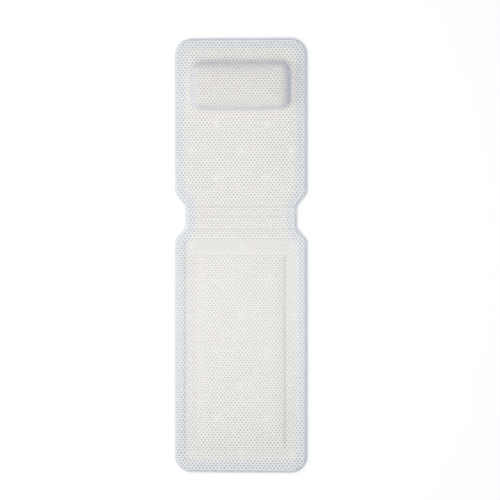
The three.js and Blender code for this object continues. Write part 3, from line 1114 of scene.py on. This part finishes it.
@dataclass
class MatCloths:
    """The cover, the underside and the edge tape, stretch by stretch."""

    plan: MatPlan
    relief: MatRelief
    stretches: tuple[Stretch, ...]
    columns: Array
    lines: Array
    under_level: float
    tape_low: float
    tape_high: float
    tape_width: float
    tape_wall: float = 0.0012
    tape_bend: float = 0.0020
    tape_lip: float = 0.0004
    bend_points: int = 6
    fill: float = 0.7
    closest_hole: float = 0.0064
    cover_rings: tuple[float, ...] = (
        0.0028, 0.0034, 0.0040, 0.0047, 0.0055, 0.0065, 0.0077, 0.0092, 0.011, 0.013
    )
    under_rings: tuple[float, ...] = (0.0022, 0.0034, 0.0048, 0.0080)
    pin_from_tape: Run = (0.0050, 0.003)
    pin_from_cup: Run = (0.006, 0.003)
    drawn_down: float = 0.0004
    drawn_run: Run = (0.0034, 0.0014)
    side_step: float = 0.002
    corner_points: int = 27
    ring_end_points: int = 50
    tape_end_points: int = 38
    ring_slack: float = 0.0002
    join_gap: float = 0.0004

    def _rows(self, stretch: Stretch) -> tuple[Array, int]:
        """The lines between the rows of a stretch, and its first row."""
        first = int(np.argmin(np.abs(self.lines - stretch.low)))
        last = int(np.argmin(np.abs(self.lines - stretch.high)))
        return self.lines[first:last + 1], first

    def _side_run(self, low: float, high: float) -> tuple[Array, Array]:
        """The right side of the outline from low to high, as points and outward directions."""
        count = max(int(round((high - low) / self.side_step)), 2) + 1
        y = np.linspace(low, high, count)
        half, slope = self.plan.flare(y)
        away = np.where(y > self.plan.middle_crease, 1.0, -1.0)
        out = np.stack([np.ones(count), -slope * away], axis=-1)
        return np.stack([half, y], axis=-1), unit(out)

    def _head_run(self, inset: float, end_points: int) -> tuple[Array, Array]:
        """The head's right corner and half its end, taken in by inset, and the outward directions."""
        plan = self.plan
        angle = np.linspace(0.0, QUARTER_TURN, self.corner_points)
        turn = np.stack([np.cos(angle), np.sin(angle)], axis=-1)
        centre = np.array([plan.half_width - plan.corner, plan.half_length - plan.corner])
        end_x = np.linspace(centre[0], 0.0, end_points)[1:]
        end = np.stack([end_x, np.full(len(end_x), plan.half_length - inset)], axis=-1)
        end_out = np.broadcast_to(np.array([0.0, 1.0]), end.shape)
        arc = centre + (plan.corner - inset) * turn
        return np.concatenate([arc, end]), np.concatenate([turn, end_out])

    def _half_ring(self, inset: float) -> Array:
        """The outline's right half taken in by inset, from the middle of the foot to that of the head."""
        corner_y = self.plan.half_length - self.plan.corner
        side, out = self._side_run(-corner_y, corner_y)
        side = side - inset * out
        side = side[self.plan.edge_distance(*side.T) > inset - self.ring_slack]
        head = self._head_run(inset, self.ring_end_points)[0][1:]
        return np.concatenate([head[::-1] * -MIRROR, side, head])

    def _cut_ring(self, stretch: Stretch, inset: float) -> Array:
        """The part of a half ring in a stretch, with a point on each line where it joins another stretch."""
        ring = self._half_ring(inset)
        x, y = ring.T
        corner_y = self.plan.half_length - self.plan.corner
        least, most = y.min() - self.join_gap, y.max() + self.join_gap
        starts, ends = [], []
        if stretch.low > -corner_y:
            starts = [np.array([[np.interp(stretch.low, y, x), stretch.low]])]
            least = stretch.low + self.join_gap
        if stretch.high < corner_y:
            ends = [np.array([[np.interp(stretch.high, y, x), stretch.high]])]
            most = stretch.high - self.join_gap
        return np.concatenate(starts + [ring[(y > least) & (y < most)]] + ends)

    def _edge(self, stretch: Stretch, insets: Sequence[float]) -> SheetEdge:
        """The border of a stretch: its outline at the first inset, and points on rings at the others."""
        rings = [self._cut_ring(stretch, inset) for inset in insets]
        left = rings[0][::-1] * MIRROR
        outline = np.concatenate([rings[0], left[np.abs(left[:, 0]) > 1e-9]])
        fill = np.concatenate(rings[1:])
        fill = np.concatenate([fill, fill * MIRROR])
        return SheetEdge(outline, fill, self.plan.edge_distance, self.closest_hole)

    def cover(self, stretch: Stretch, material: Material) -> None:
        """Build the dotted cover of a stretch: the relief, with each hole pushed in along its direction.

        Args:
            stretch: The stretch to cover.
            material: The finish of the mesh.
        """
        edge = self._edge(stretch, self.cover_rings)
        relief = self.relief
        sheet = HoleLattice(self.columns, *self._rows(stretch), edge, COVER_HOLE, relief.normals).build()
        x, y = sheet.plan.T
        opening = sheet.share * relief.hole_strength(*sheet.middle.T)
        points = relief.surface(x, y) - relief.normals(x, y) * (COVER_HOLE.depth * opening)[:, None]
        piece = stretch.piece(Cloth.COVER, points, sheet.faces)
        # The hole attribute darkens the hole floors and paints shade in the channel and the creases.
        set_attribute(piece, "hole", np.maximum(opening, relief.painted_shade_share(x, y)))
        # Painted cool shade over the border, for the finish's rim colour.
        set_attribute(piece, "rim", relief.rim_painted_shade_share(x, y))
        dress(piece, material, stretch.covers)
        stretch.carry(piece)

    def under(self, stretch: Stretch, material: Material, tape: Piece) -> None:
        """Build the flat underside of a stretch: a stretched sheet, drawn down a little towards its edge.

        Args:
            stretch: The stretch to close below.
            material: The finish of the sheet, which has shallow pinholes.
            tape: The stretch's edge tape; not used.
        """
        edge = self._edge(stretch, self.under_rings)
        sheet = HoleLattice(self.columns, *self._rows(stretch), edge, PIN_HOLE).build()
        x, y = sheet.plan.T
        cups = self.relief.cups
        by_tape = ramp(self.plan.edge_distance(*sheet.middle.T), *self.pin_from_tape)
        away = np.hypot(sheet.middle[:, :1] - cups[:, 0], sheet.middle[:, 1:] - cups[:, 1])
        opening = sheet.share * by_tape * ramp(away.min(axis=1), *self.pin_from_cup)
        drawn = self.drawn_down * (1.0 - ramp(self.plan.edge_distance(x, y), *self.drawn_run))
        level = self.under_level + PIN_HOLE.depth * opening - drawn
        points = np.stack([x, y, level], axis=-1)
        piece = stretch.piece(Cloth.UNDER, points, [block[:, ::-1] for block in sheet.faces])
        set_attribute(piece, "hole", opening)
        dress(piece, material, stretch.unders)
        stretch.carry(piece)

    def tape_section(self) -> Array:
        """The tape's section as inset and level: a folded strip with round outer corners, drawn once round.

        It starts at the inner edge above, goes out over the fold and back below, and returns inside.

        Returns:
            One row for each corner of the section.
        """
        low, high, inner = self.tape_low, self.tape_high, self.tape_width
        wall, bend, lip = self.tape_wall, self.tape_bend, self.tape_lip
        turn = np.linspace(0.0, QUARTER_TURN, self.bend_points)
        upper = np.stack([bend - bend * np.sin(turn), high - bend + bend * np.cos(turn)], axis=-1)
        lower = np.stack([bend - bend * np.cos(turn), low + bend - bend * np.sin(turn)], axis=-1)
        start = np.array([[inner, high - wall], [inner, high - lip], [inner - lip, high]])
        end = np.array([[inner - lip, low], [inner, low + lip], [inner, low + wall]])
        inside = np.array([[wall, low + wall], [wall, high - wall]])
        return np.concatenate([start, upper, lower, end, inside])

    def _end_run(self, stretch: Stretch) -> tuple[Array, Array]:
        """The outline of a panel, from its join on the right, round its far end, to its join on the left."""
        corner_y = self.plan.half_length - self.plan.corner
        head, head_out = self._head_run(0.0, self.tape_end_points)
        if stretch.low > self.plan.middle_crease:
            side, side_out = self._side_run(stretch.low, corner_y)
        else:
            side, side_out = (run[::-1] for run in self._side_run(-corner_y, stretch.high))
            head, head_out = head * -MIRROR, head_out * -MIRROR
        path = np.concatenate([side[:-1], head])
        out = np.concatenate([side_out[:-1], head_out])
        return np.concatenate([path, path[-2::-1] * MIRROR]), np.concatenate([out, out[-2::-1] * MIRROR])

    def _strip(self, path: Array, out: Array) -> tuple[Array, Array, Array]:
        """Carry the tape's section along a path.

        Args:
            path: Points of the outline.
            out: The outward direction at each.

        Returns:
            The points, the faces, and for each point how far along and round the tape it lies.
        """
        section = self.tape_section()
        plan = path[:, None, :] - out[:, None, :] * section[None, :, :1]
        level = np.broadcast_to(section[None, :, 1:], plan.shape[:2] + (1,))
        points = np.concatenate([plan, level], axis=-1).reshape(-1, 3)
        faces = walls(np.arange(len(points)).reshape(len(path), len(section)))
        grid = np.meshgrid(self._lengths(path), self._lengths(section), indexing="ij")
        return points, self._outward(points, faces), np.stack(grid, axis=-1).reshape(-1, 2)

    @staticmethod
    def _lengths(path: Array) -> Array:
        """How far along a path each of its points lies."""
        return np.concatenate([[0.0], np.cumsum(np.linalg.norm(np.diff(path, axis=0), axis=-1))])

    @staticmethod
    def _outward(points: Array, faces: Array) -> Array:
        """The faces of a closed section, turned to point outwards if their enclosed volume is negative."""
        middle = points.mean(axis=0)
        first, second, third, fourth = (points[faces[:, corner]] - middle for corner in range(4))
        volume = np.sum(first * (np.cross(second, third) + np.cross(third, fourth)))
        return faces if volume > 0.0 else faces[:, ::-1]

    def tape(self, stretch: Stretch, material: Material) -> Piece:
        """Build the edge tape of a stretch: one run round a panel's end, or a strip each side of the waist.

        Args:
            stretch: The stretch to bind.
            material: The finish of the tape.

        Returns:
            The tape.
        """
        if len(stretch.bodies) == 1:
            strips = [self._strip(*self._end_run(stretch))]
        else:
            path, out = self._side_run(stretch.low, stretch.high)
            strips = [self._strip(path, out), self._strip(path * MIRROR, out * MIRROR)]
        points, blocks, plans = zip(*strips)
        blocks = [block + number * len(points[0]) for number, block in enumerate(blocks)]
        piece = stretch.piece(Cloth.TAPE, np.concatenate(points), blocks)
        set_plan(piece, np.concatenate(plans))
        dress(piece, material, stretch.tapes)
        stretch.carry(piece)
        return piece


@dataclass
class HeadPillow:
    """The raised head pillow: a sewn flange, steep walls and a full, gently domed top.

    Its cloth is laid out flat as a rounded rectangle that is larger than the pillow's plan by what the
    walls take up, and each point is then drawn in and raised along the pillow's profile.
    """

    low: Vector
    high: Vector
    corner: float = 0.030
    flange: float = 0.004
    flange_rise: float = 0.0018
    welt_points: int = 24
    welt_power: float = 1.5
    welt_turn: float = 0.72
    welt_round: float = 0.8
    wall_points: int = 400
    wall_power: float = 6.0
    top_power: float = 2.4
    pitch: float = 0.0102
    row: float = 0.0073
    rings: tuple[float, ...] = (0.0, 0.0010, 0.0020, 0.0032, 0.0045, 0.0060, 0.0080, 0.0105)
    fill: float = 0.85
    open_run: Run = (0.007, 0.005)
    # Painted shade in the crevice at the pillow's foot.
    foot_painted_shade: float = 0.15
    foot_shade_run: Run = (0.003, 0.006)
    # Painted cool shade down the pillow's walls.
    wall_shade_run: Run = (0.025, 0.035)
    wall_shade_least: float = 0.45
    swelling: ClothSwelling = ClothSwelling(pressure=1.0, cap=0.004)
    swell_step: float = 0.0058
    sewn_past: float = 0.003
    swell: SwellField | None = None

    def _profile(self) -> tuple[Array, Array, Array]:
        """The pillow's section as distance in from its outline, height and length of cloth.

        The flange is a low round welt. Above it the height goes as a superellipse: one less the sixth
        power of the rest of the way in, to the power 1/2.4.

        Returns:
            Distances in, heights and lengths along the cloth.
        """
        half = (self.high.y - self.low.y) / 2.0
        rim = np.linspace(0.0, 1.0, self.welt_points)
        welt_in = self.flange * rim**self.welt_power
        welt_up = self.flange_rise * np.sin(np.pi * (self.welt_turn * rim)) ** self.welt_round
        share = np.linspace(0.0, 1.0, self.wall_points)[1:] ** self.top_power
        wall_in = self.flange + (half - self.flange) * share
        foot = self.low.z + welt_up[-1]
        risen = (1.0 - (1.0 - share) ** self.wall_power) ** (1.0 / self.top_power)
        inward = np.concatenate([welt_in, wall_in])
        level = np.concatenate([self.low.z + welt_up, foot + (self.high.z - foot) * risen])
        length = np.concatenate([[0.0], np.cumsum(np.hypot(np.diff(inward), np.diff(level)))])
        return inward, level, length

    def _flat(self) -> tuple[RoundedRectangle, float]:
        """The cloth laid flat, and how much larger it is than the plan on each side."""
        inward, _, length = self._profile()
        extra = length[-1] - inward[-1]
        half_x = (self.high.x - self.low.x) / 2.0 + extra
        half_y = (self.high.y - self.low.y) / 2.0 + extra
        return RoundedRectangle((-half_x, -half_y), (half_x, half_y), self.corner + extra), extra

    def surface(self, u: Array, v: Array) -> Array:
        """Where points of the flat cloth come to lie on the pillow."""
        flat, extra = self._flat()
        inward, level, length = self._profile()
        taken = np.clip(flat.inside(u, v), 0.0, length[-1])
        out_x, out_y = flat.outward(u, v)
        drawn = extra + np.interp(taken, length, inward) - taken
        x = (self.low.x + self.high.x) / 2.0 + u - out_x * drawn
        y = (self.low.y + self.high.y) / 2.0 + v - out_y * drawn
        points = np.stack([x, y, np.interp(taken, length, level)], axis=-1)
        if self.swell is not None:
            points = points + self.swell.at(u, v)
        return points

    def simulate(self) -> None:
        """Swell the pillow's cloth, sewn down at its flange, on a coarse grid."""
        flat, _ = self._flat()
        across, along = (
            np.linspace(low, high, int(round(2.0 * high / self.swell_step)) + 1)
            for low, high in zip(flat.low, flat.high)
        )

        def sewn(u: Array, v: Array) -> Array:
            """Held at the flange and a little past it."""
            return flat.inside(u, v) < self.flange + self.sewn_past

        self.swell = self.swelling.field("pillow_swelling", across, along, self.surface, sewn)

    def build(self, material: Material) -> None:
        """Build the pillow's dotted cover and let it ride on the back panel."""
        flat, _ = self._flat()
        half_columns = 2 * int(round(flat.high[0] / self.pitch)) + 1
        rows = int(round(2.0 * flat.high[1] / self.row))
        columns = np.linspace(flat.low[0], flat.high[0], 2 * half_columns + 1)
        lines = np.linspace(flat.low[1], flat.high[1], rows + 1)
        rings = [flat.ring(inset) for inset in self.rings]
        edge = SheetEdge(rings[0], np.concatenate(rings[1:]), flat.inside, self.row / 2.0)
        sheet = HoleLattice(columns, lines, 0, edge, COVER_HOLE).build()
        u, v = sheet.plan.T
        opening = sheet.share * ramp(flat.inside(*sheet.middle.T), *self.open_run)
        sunk = directions(self.surface, u, v) * (COVER_HOLE.depth * opening)[:, None]
        piece = new_piece("head_pillow_cloth", self.surface(u, v) - sunk, sheet.faces)
        # Painted shade in the crevice at the pillow's foot, carried in the hole attribute with the hole
        # floors.
        seam = self.foot_painted_shade * (1.0 - ramp(flat.inside(u, v), *self.foot_shade_run))
        # Painted cool shade down the pillow's walls, strongest at its left and right ends, carried in the
        # rim attribute.
        wall = 1.0 - ramp(flat.inside(u, v), *self.wall_shade_run)
        beside = self.wall_shade_least + (1.0 - self.wall_shade_least) * np.abs(flat.outward(u, v)[0])
        set_attribute(piece, "hole", np.maximum(opening, seam))
        set_attribute(piece, "rim", wall * beside)
        dress(piece, material, ("pillow_cover", "pillow_foam"))
        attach(piece, "back_panel")


@dataclass
class SuctionCup:
    """A clear cup: a head inside the mat, a neck through the underside, a shoulder and a hollow bell."""

    node: str
    body: str
    segments: int = 40
    shoulder: float = 0.0061
    bell_points: int = 9
    bell_low: float = 0.0008
    bell_rise: float = 0.0058
    bell_power: float = 1.25
    lip: float = 0.0013
    lip_round: float = 0.0003
    hollow: float = 0.0040
    hollow_points: int = 8
    hollow_power: float = 1.8

    def _profile(self, top: float, rim: float) -> Array:
        """The cup's half section, from its head's middle down the outside, and up the hollow to its middle.

        Args:
            top: The level of the head.
            rim: The radius of the rim.

        Returns:
            Radii and levels.
        """
        head = [[0.0056, 0.0], [0.0066, -0.0004], [0.0070, -0.0010], [0.0066, -0.0017], [0.0056, -0.0020]]
        neck = [[0.0041, top - 0.0020], [0.0040, 0.0077], [0.0053, 0.0077], [0.0059, 0.0074]]
        share = np.linspace(0.0, 1.0, self.bell_points)[1:]
        bell_radius = self.shoulder + (rim - self.lip_round - self.shoulder) * share
        bell_level = self.bell_low + self.bell_rise * (1.0 - share) ** self.bell_power
        bell = np.stack([bell_radius, bell_level], axis=-1)
        lip = [[rim, 0.0006], [rim, 0.0003], [rim - 0.0004, 0.0], [rim - self.lip, 0.0001]]
        inner = np.linspace(1.0, 0.0, self.hollow_points)[1:-1]
        hollow_level = self.hollow * (1.0 - inner**self.hollow_power)
        hollow = np.stack([(rim - self.lip) * inner, hollow_level], axis=-1)
        head = np.array(head) + [0.0, top]
        return np.concatenate([head, neck, [[self.shoulder, 0.0067]], bell, lip, hollow])

    def build(self, material: Material) -> None:
        """Turn the section round the cup's axis and close it with a point at each end."""
        low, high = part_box(self.node)
        centre = (low + high) / 2.0
        profile = self._profile(high.z, (high.y - low.y) / 2.0)
        angle = np.linspace(0.0, FULL_TURN, self.segments, endpoint=False)
        ring_x = centre.x + profile[:, :1] * np.cos(angle)
        ring_y = centre.y + profile[:, :1] * np.sin(angle)
        level = np.broadcast_to(profile[:, 1:], ring_x.shape)
        rings = np.stack([ring_x, ring_y, level], axis=-1).reshape(-1, 3)
        ends = np.array([[centre.x, centre.y, high.z], [centre.x, centre.y, self.hollow]])
        index = np.arange(len(rings)).reshape(len(profile), self.segments)
        beside = np.roll(index, -1, axis=1)
        first = np.full(self.segments, len(rings))
        head = np.stack([first, index[0], beside[0]], axis=-1)
        roof = np.stack([first + 1, beside[-1], index[-1]], axis=-1)
        name = self.node.replace("_cup_", "_suction_")
        piece = new_piece(name, np.concatenate([rings, ends]), [walls(index), head, roof])
        dress(piece, material, (self.node,))
        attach(piece, self.body)


@dataclass(frozen=True)
class Lamp:
    """A large soft lamp, width by length, that looks at the mat's centre line."""

    name: str
    place: tuple[float, float, float]
    size: tuple[float, float]
    power: float
    colour: Colour = (1.0, 0.950, 0.878)

    def build(self) -> None:
        """Hang the lamp, hidden from the camera."""
        data = bpy.data.lights.new(self.name, "AREA")
        data.shape = "RECTANGLE"
        data.size, data.size_y = self.size
        data.color = self.colour
        data.energy = self.power
        lamp = bpy.data.objects.new(self.name, data)
        lamp.location = self.place
        # The small step gives a lamp that looks straight down a length along the mat.
        toward = Vector((0.0, self.place[1] + 0.001, 0.0)) - Vector(self.place)
        lamp.rotation_euler = toward.to_track_quat("-Z", "Y").to_euler()
        lamp.visible_camera = False
        bpy.context.scene.collection.objects.link(lamp)


@dataclass
class Studio:
    """A white floor, soft light from above and from the left, and a camera high above the mat."""

    span: float = 1.4368
    aim: tuple[float, float, float] = (0.0260, 0.0151, 0.015)
    tilt: float = math.radians(5.0)
    lens: float = 200.0
    sensor: float = 36.0
    sky: Colour = (0.90, 0.985, 1.09)
    sky_strength: float = 0.42
    floor_half: float = 9.0
    floor_level: float = -0.0004
    floor_white: Colour = (0.95, 0.95, 0.95)
    floor_glow: float = 1.06
    glow_share: float = 0.72
    lamps: tuple[Lamp, ...] = (
        Lamp("overhead", (0.0, 0.02, 1.6), (0.9, 2.4), 18.2),
        Lamp("key", (-2.4, 0.0, 1.9), (1.6, 1.6), 25.5),
    )

    def camera(self) -> None:
        """Look down from far above, leaning to the right, so that the frame is span wide at the mat."""
        data = bpy.data.cameras.new("camera")
        data.lens = self.lens
        data.sensor_width = self.sensor
        data.clip_end = 100.0
        view = bpy.data.objects.new("camera", data)
        distance = self.span * self.lens / self.sensor
        lean = Vector((math.sin(self.tilt), 0.0, math.cos(self.tilt)))
        view.location = Vector(self.aim) + distance * lean
        view.rotation_euler = (0.0, self.tilt, 0.0)
        bpy.context.scene.collection.objects.link(view)
        bpy.context.scene.camera = view

    @staticmethod
    def _seen(graph: Graph) -> Wire:
        """1 for rays that show the background: from the camera, off gloss, or through clear things."""
        path = graph.node("ShaderNodeLightPath")
        shown = Wire(graph, path.outputs["Is Camera Ray"]) + Wire(graph, path.outputs["Is Glossy Ray"])
        return shown + Wire(graph, path.outputs["Is Transmission Ray"])

    def floor(self) -> None:
        """Lay a wide white floor that keeps part of the mat's shadow."""
        signs = np.array([[-1.0, -1.0], [1.0, -1.0], [1.0, 1.0], [-1.0, 1.0]])
        corners = np.column_stack([self.floor_half * signs, np.full(4, self.floor_level)])
        floor = new_piece("floor", corners, [np.array([[0, 1, 2, 3]])])
        graph, material = Graph.of_material("floor_white")
        matt = graph.node("ShaderNodeBsdfDiffuse", inputs={"Color": rgba(self.floor_white)})
        glow = graph.node("ShaderNodeEmission", inputs={"Color": WHITE, "Strength": self.floor_glow})
        inputs = {0: self._seen(graph) * self.glow_share, 1: matt.outputs[0], 2: glow.outputs[0]}
        surface = graph.node("ShaderNodeMixShader", inputs=inputs)
        graph.node("ShaderNodeOutputMaterial", inputs={"Surface": surface.outputs[0]})
        floor.data.materials.append(material)

    def light(self) -> None:
        """Set a pale sky all round and hang the lamps."""
        world = bpy.data.worlds.new("studio")
        world.use_nodes = True
        bpy.context.scene.world = world
        graph = Graph(world.node_tree)
        inputs = {"Color": rgba(self.sky), "Strength": self.sky_strength}
        sky = graph.node("ShaderNodeBackground", inputs=inputs)
        white = graph.node("ShaderNodeBackground", inputs={"Color": WHITE, "Strength": 1.0})
        inputs = {0: self._seen(graph), 1: sky.outputs[0], 2: white.outputs[0]}
        mix = graph.node("ShaderNodeMixShader", inputs=inputs)
        graph.node("ShaderNodeOutputWorld", inputs={"Surface": mix.outputs[0]})
        for lamp in self.lamps:
            lamp.build()


@dataclass(frozen=True)
class CoverLayout:
    """How the cover is laid out: the channel's outer and inner edge, its levels and the spread of holes."""

    side: tuple[float, float] = (0.031, 0.064)
    foot: tuple[float, float] = (0.045, 0.069)
    head: tuple[float, float] = (0.030, 0.071)
    corner: tuple[float, float] = (0.012, 0.006)
    edge_level: float = 0.0128
    crown_rise: float = 0.002
    edge_inset: float = 0.0028
    rib_reach: float = 0.014
    overhang: float = 0.0005
    border_columns: int = 7
    channel_columns: int = 7
    pad_columns: int = 51
    row: float = 0.0072

    def edge(self, plan: MatPlan, number: int) -> RoundedRectangle:
        """The channel's outer edge for number 0, or its inner edge for number 1."""
        half = plan.half_width - self.side[number]
        low = -plan.half_length + self.foot[number]
        high = plan.lower_crease - self.head[number]
        return RoundedRectangle((-half, low), (half, high), self.corner[number])

    def columns(self, edge: float, outer: float, inner: float) -> Array:
        """Half-columns of holes that fall on the channel's edges: even in the border, channel and pad."""
        border = np.linspace(-edge - self.overhang, -outer, self.border_columns)
        channel = np.linspace(-outer, -inner, self.channel_columns)
        pad = np.linspace(-inner, inner, self.pad_columns)
        left = np.concatenate([border[:-1], channel[:-1]])
        return np.concatenate([left, pad, -left[::-1]])

    def lines(self, stations: Sequence[float]) -> Array:
        """Lines between rows that fall on every station, as near to the pitch as whole rows allow."""
        runs = [
            np.linspace(low, high, int(round((high - low) / self.row)) + 1)[:-1]
            for low, high in zip(stations[:-1], stations[1:])
        ]
        return np.concatenate(runs + [np.array([stations[-1]])])


@dataclass
class BathMat:
    """The whole mat: cloths in five stretches, the head pillow and the suction cups."""

    plan: MatPlan
    cloths: MatCloths
    pillow: HeadPillow
    cups: list[SuctionCup]
    held_channel: float = 0.3
    held_weld: float = 0.4
    held_edge: float = 0.012
    held_waist: float = 0.022
    held_pillow: float = 0.004

    @staticmethod
    def _stretches(plan: MatPlan, joins: Sequence[float]) -> tuple[Stretch, ...]:
        """Divide the mat.

        Args:
            plan: The mat's outline and creases.
            joins: Where the stretches start and end, from the foot to the head.

        Returns:
            The five stretches.
        """
        rows = (
            ("seat", ("seat_panel",), 0.0,
             ("seat_top_sheet", "seat_foam"), ("seat_base_sheet",), ("seat_edge_binding",)),
            ("waist_lower", ("seat_panel", "lower_rib"), plan.lower_crease,
             ("crease_weld_lower", "lower_rib_top_sheet", "lower_rib_foam"), ("lower_rib_base_sheet",),
             ("lower_rib_binding_left", "lower_rib_binding_right")),
            ("waist_middle", ("lower_rib", "upper_rib"), plan.middle_crease,
             ("crease_weld_middle",), ("lower_rib_base_sheet", "upper_rib_base_sheet"), ()),
            ("waist_upper", ("upper_rib", "back_panel"), plan.upper_crease,
             ("crease_weld_upper", "upper_rib_top_sheet", "upper_rib_foam"), ("upper_rib_base_sheet",),
             ("upper_rib_binding_left", "upper_rib_binding_right")),
            ("back", ("back_panel",), 0.0,
             ("back_top_sheet", "back_foam"), ("back_base_sheet",), ("back_edge_binding",)),
        )
        ends = zip(joins[:-1], joins[1:])
        return tuple(Stretch(name, low, high, *rest) for (name, *rest), (low, high) in zip(rows, ends))

    @classmethod
    def from_frame(cls) -> "BathMat":
        """Take the mat's sizes from the CAD frame."""
        plan = MatPlan.from_frame()
        layout = CoverLayout()
        names = sorted(name for name in frame["nodes"] if "_cup_" in name)
        boxes = [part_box(name) for name in names]
        outer, inner = layout.edge(plan, 0), layout.edge(plan, 1)
        panel_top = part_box("back_top_sheet")[1].z
        relief = MatRelief(
            plan=plan,
            cups=np.array([[(low.x + high.x) / 2.0, (low.y + high.y) / 2.0] for low, high in boxes]),
            edge_level=layout.edge_level,
            rib_top=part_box("lower_rib_top_sheet")[1].z,
            padding_top=panel_top - layout.crown_rise,
            crown_top=panel_top,
            channel_outer=outer,
            channel_inner=inner,
        )
        low_join = plan.lower_crease - layout.rib_reach
        high_join = plan.upper_crease + layout.rib_reach
        end = plan.half_length - layout.edge_inset
        stations = [-end, outer.low[1], inner.low[1], inner.high[1], outer.high[1], low_join]
        stations += [plan.lower_crease, plan.middle_crease, plan.upper_crease, high_join, end]
        lines = layout.lines(stations)
        low_split, high_split = (
            float(lines[np.abs(lines - plan.middle_crease - reach).argmin()])
            for reach in (-layout.rib_reach, layout.rib_reach)
        )
        tape_low, tape_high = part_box("lower_rib_binding_right")
        cloths = MatCloths(
            plan=plan,
            relief=relief,
            stretches=cls._stretches(plan, (-end, low_join, low_split, high_split, high_join, end)),
            columns=layout.columns(plan.half_width, outer.high[0], inner.high[0]),
            lines=lines,
            under_level=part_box("seat_base_sheet")[0].z,
            tape_low=tape_low.z,
            tape_high=tape_high.z,
            tape_width=tape_high.x - tape_low.x,
        )
        cups = [SuctionCup(name, name.split("_")[0] + "_panel") for name in names]
        return cls(plan, cloths, HeadPillow(*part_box("pillow_cover")), cups)

    def simulate(self) -> None:
        """Swell the two panels and the pillow between their seams."""
        relief, pillow = self.cloths.relief, self.pillow
        under_pillow = RoundedRectangle(tuple(pillow.low.xy), tuple(pillow.high.xy), pillow.corner)

        def still(x: Array, y: Array) -> Array:
            """Held at the edge, in the channel, under the pillow, at the welds and beside the waist."""
            pressed = relief.channel_share(x, y) > self.held_channel
            pressed = pressed | (relief.weld_share(x, y) > self.held_weld)
            pressed = pressed | (under_pillow.inside(x, y) > -self.held_pillow)
            near_edge = self.plan.edge_distance(x, y) < self.held_edge
            return pressed | near_edge | (self.plan.beyond_waist(y) < self.held_waist)

        seat, back = self.cloths.stretches[0], self.cloths.stretches[-1]
        seat_swell = relief.swell_panel("seat_swelling", seat.low, seat.high, still)
        back_swell = relief.swell_panel("back_swelling", back.low, back.high, still)
        relief.seat_swell = seat_swell
        relief.back_swell = back_swell
        pillow.simulate()

    def build(self) -> None:
        """Build and dress every piece."""
        mesh = DottedMesh().material("dotted_mesh")
        # A darker copy of the cover's finish for the pillow: painted shade over its top.
        pillow_shaded_finish = DottedMesh(knit=(0.826, 0.802, 0.776), shade=(0.794, 0.783, 0.772))
        pillow_mesh = pillow_shaded_finish.material("pillow_mesh")
        plain = CloseMesh().material("close_mesh")
        twill = EdgeTape().material("edge_twill")
        vinyl = ClearVinyl().material("clear_vinyl_skin")
        for stretch in self.cloths.stretches:
            self.cloths.cover(stretch, mesh)
            tape = self.cloths.tape(stretch, twill)
            self.cloths.under(stretch, plain, tape)
        self.pillow.build(pillow_mesh)
        for cup in self.cups:
            cup.build(vinyl)


def main() -> None:
    """Build the studio and the mat."""
    logging.basicConfig(level=logging.INFO, format="%(name)s: %(message)s")
    bpy.context.scene.view_settings.view_transform = "Standard"
    studio = Studio()
    studio.camera()
    studio.floor()
    studio.light()
    mat = BathMat.from_frame()
    mat.simulate()
    mat.build()


if __name__ == "__main__":
    main()
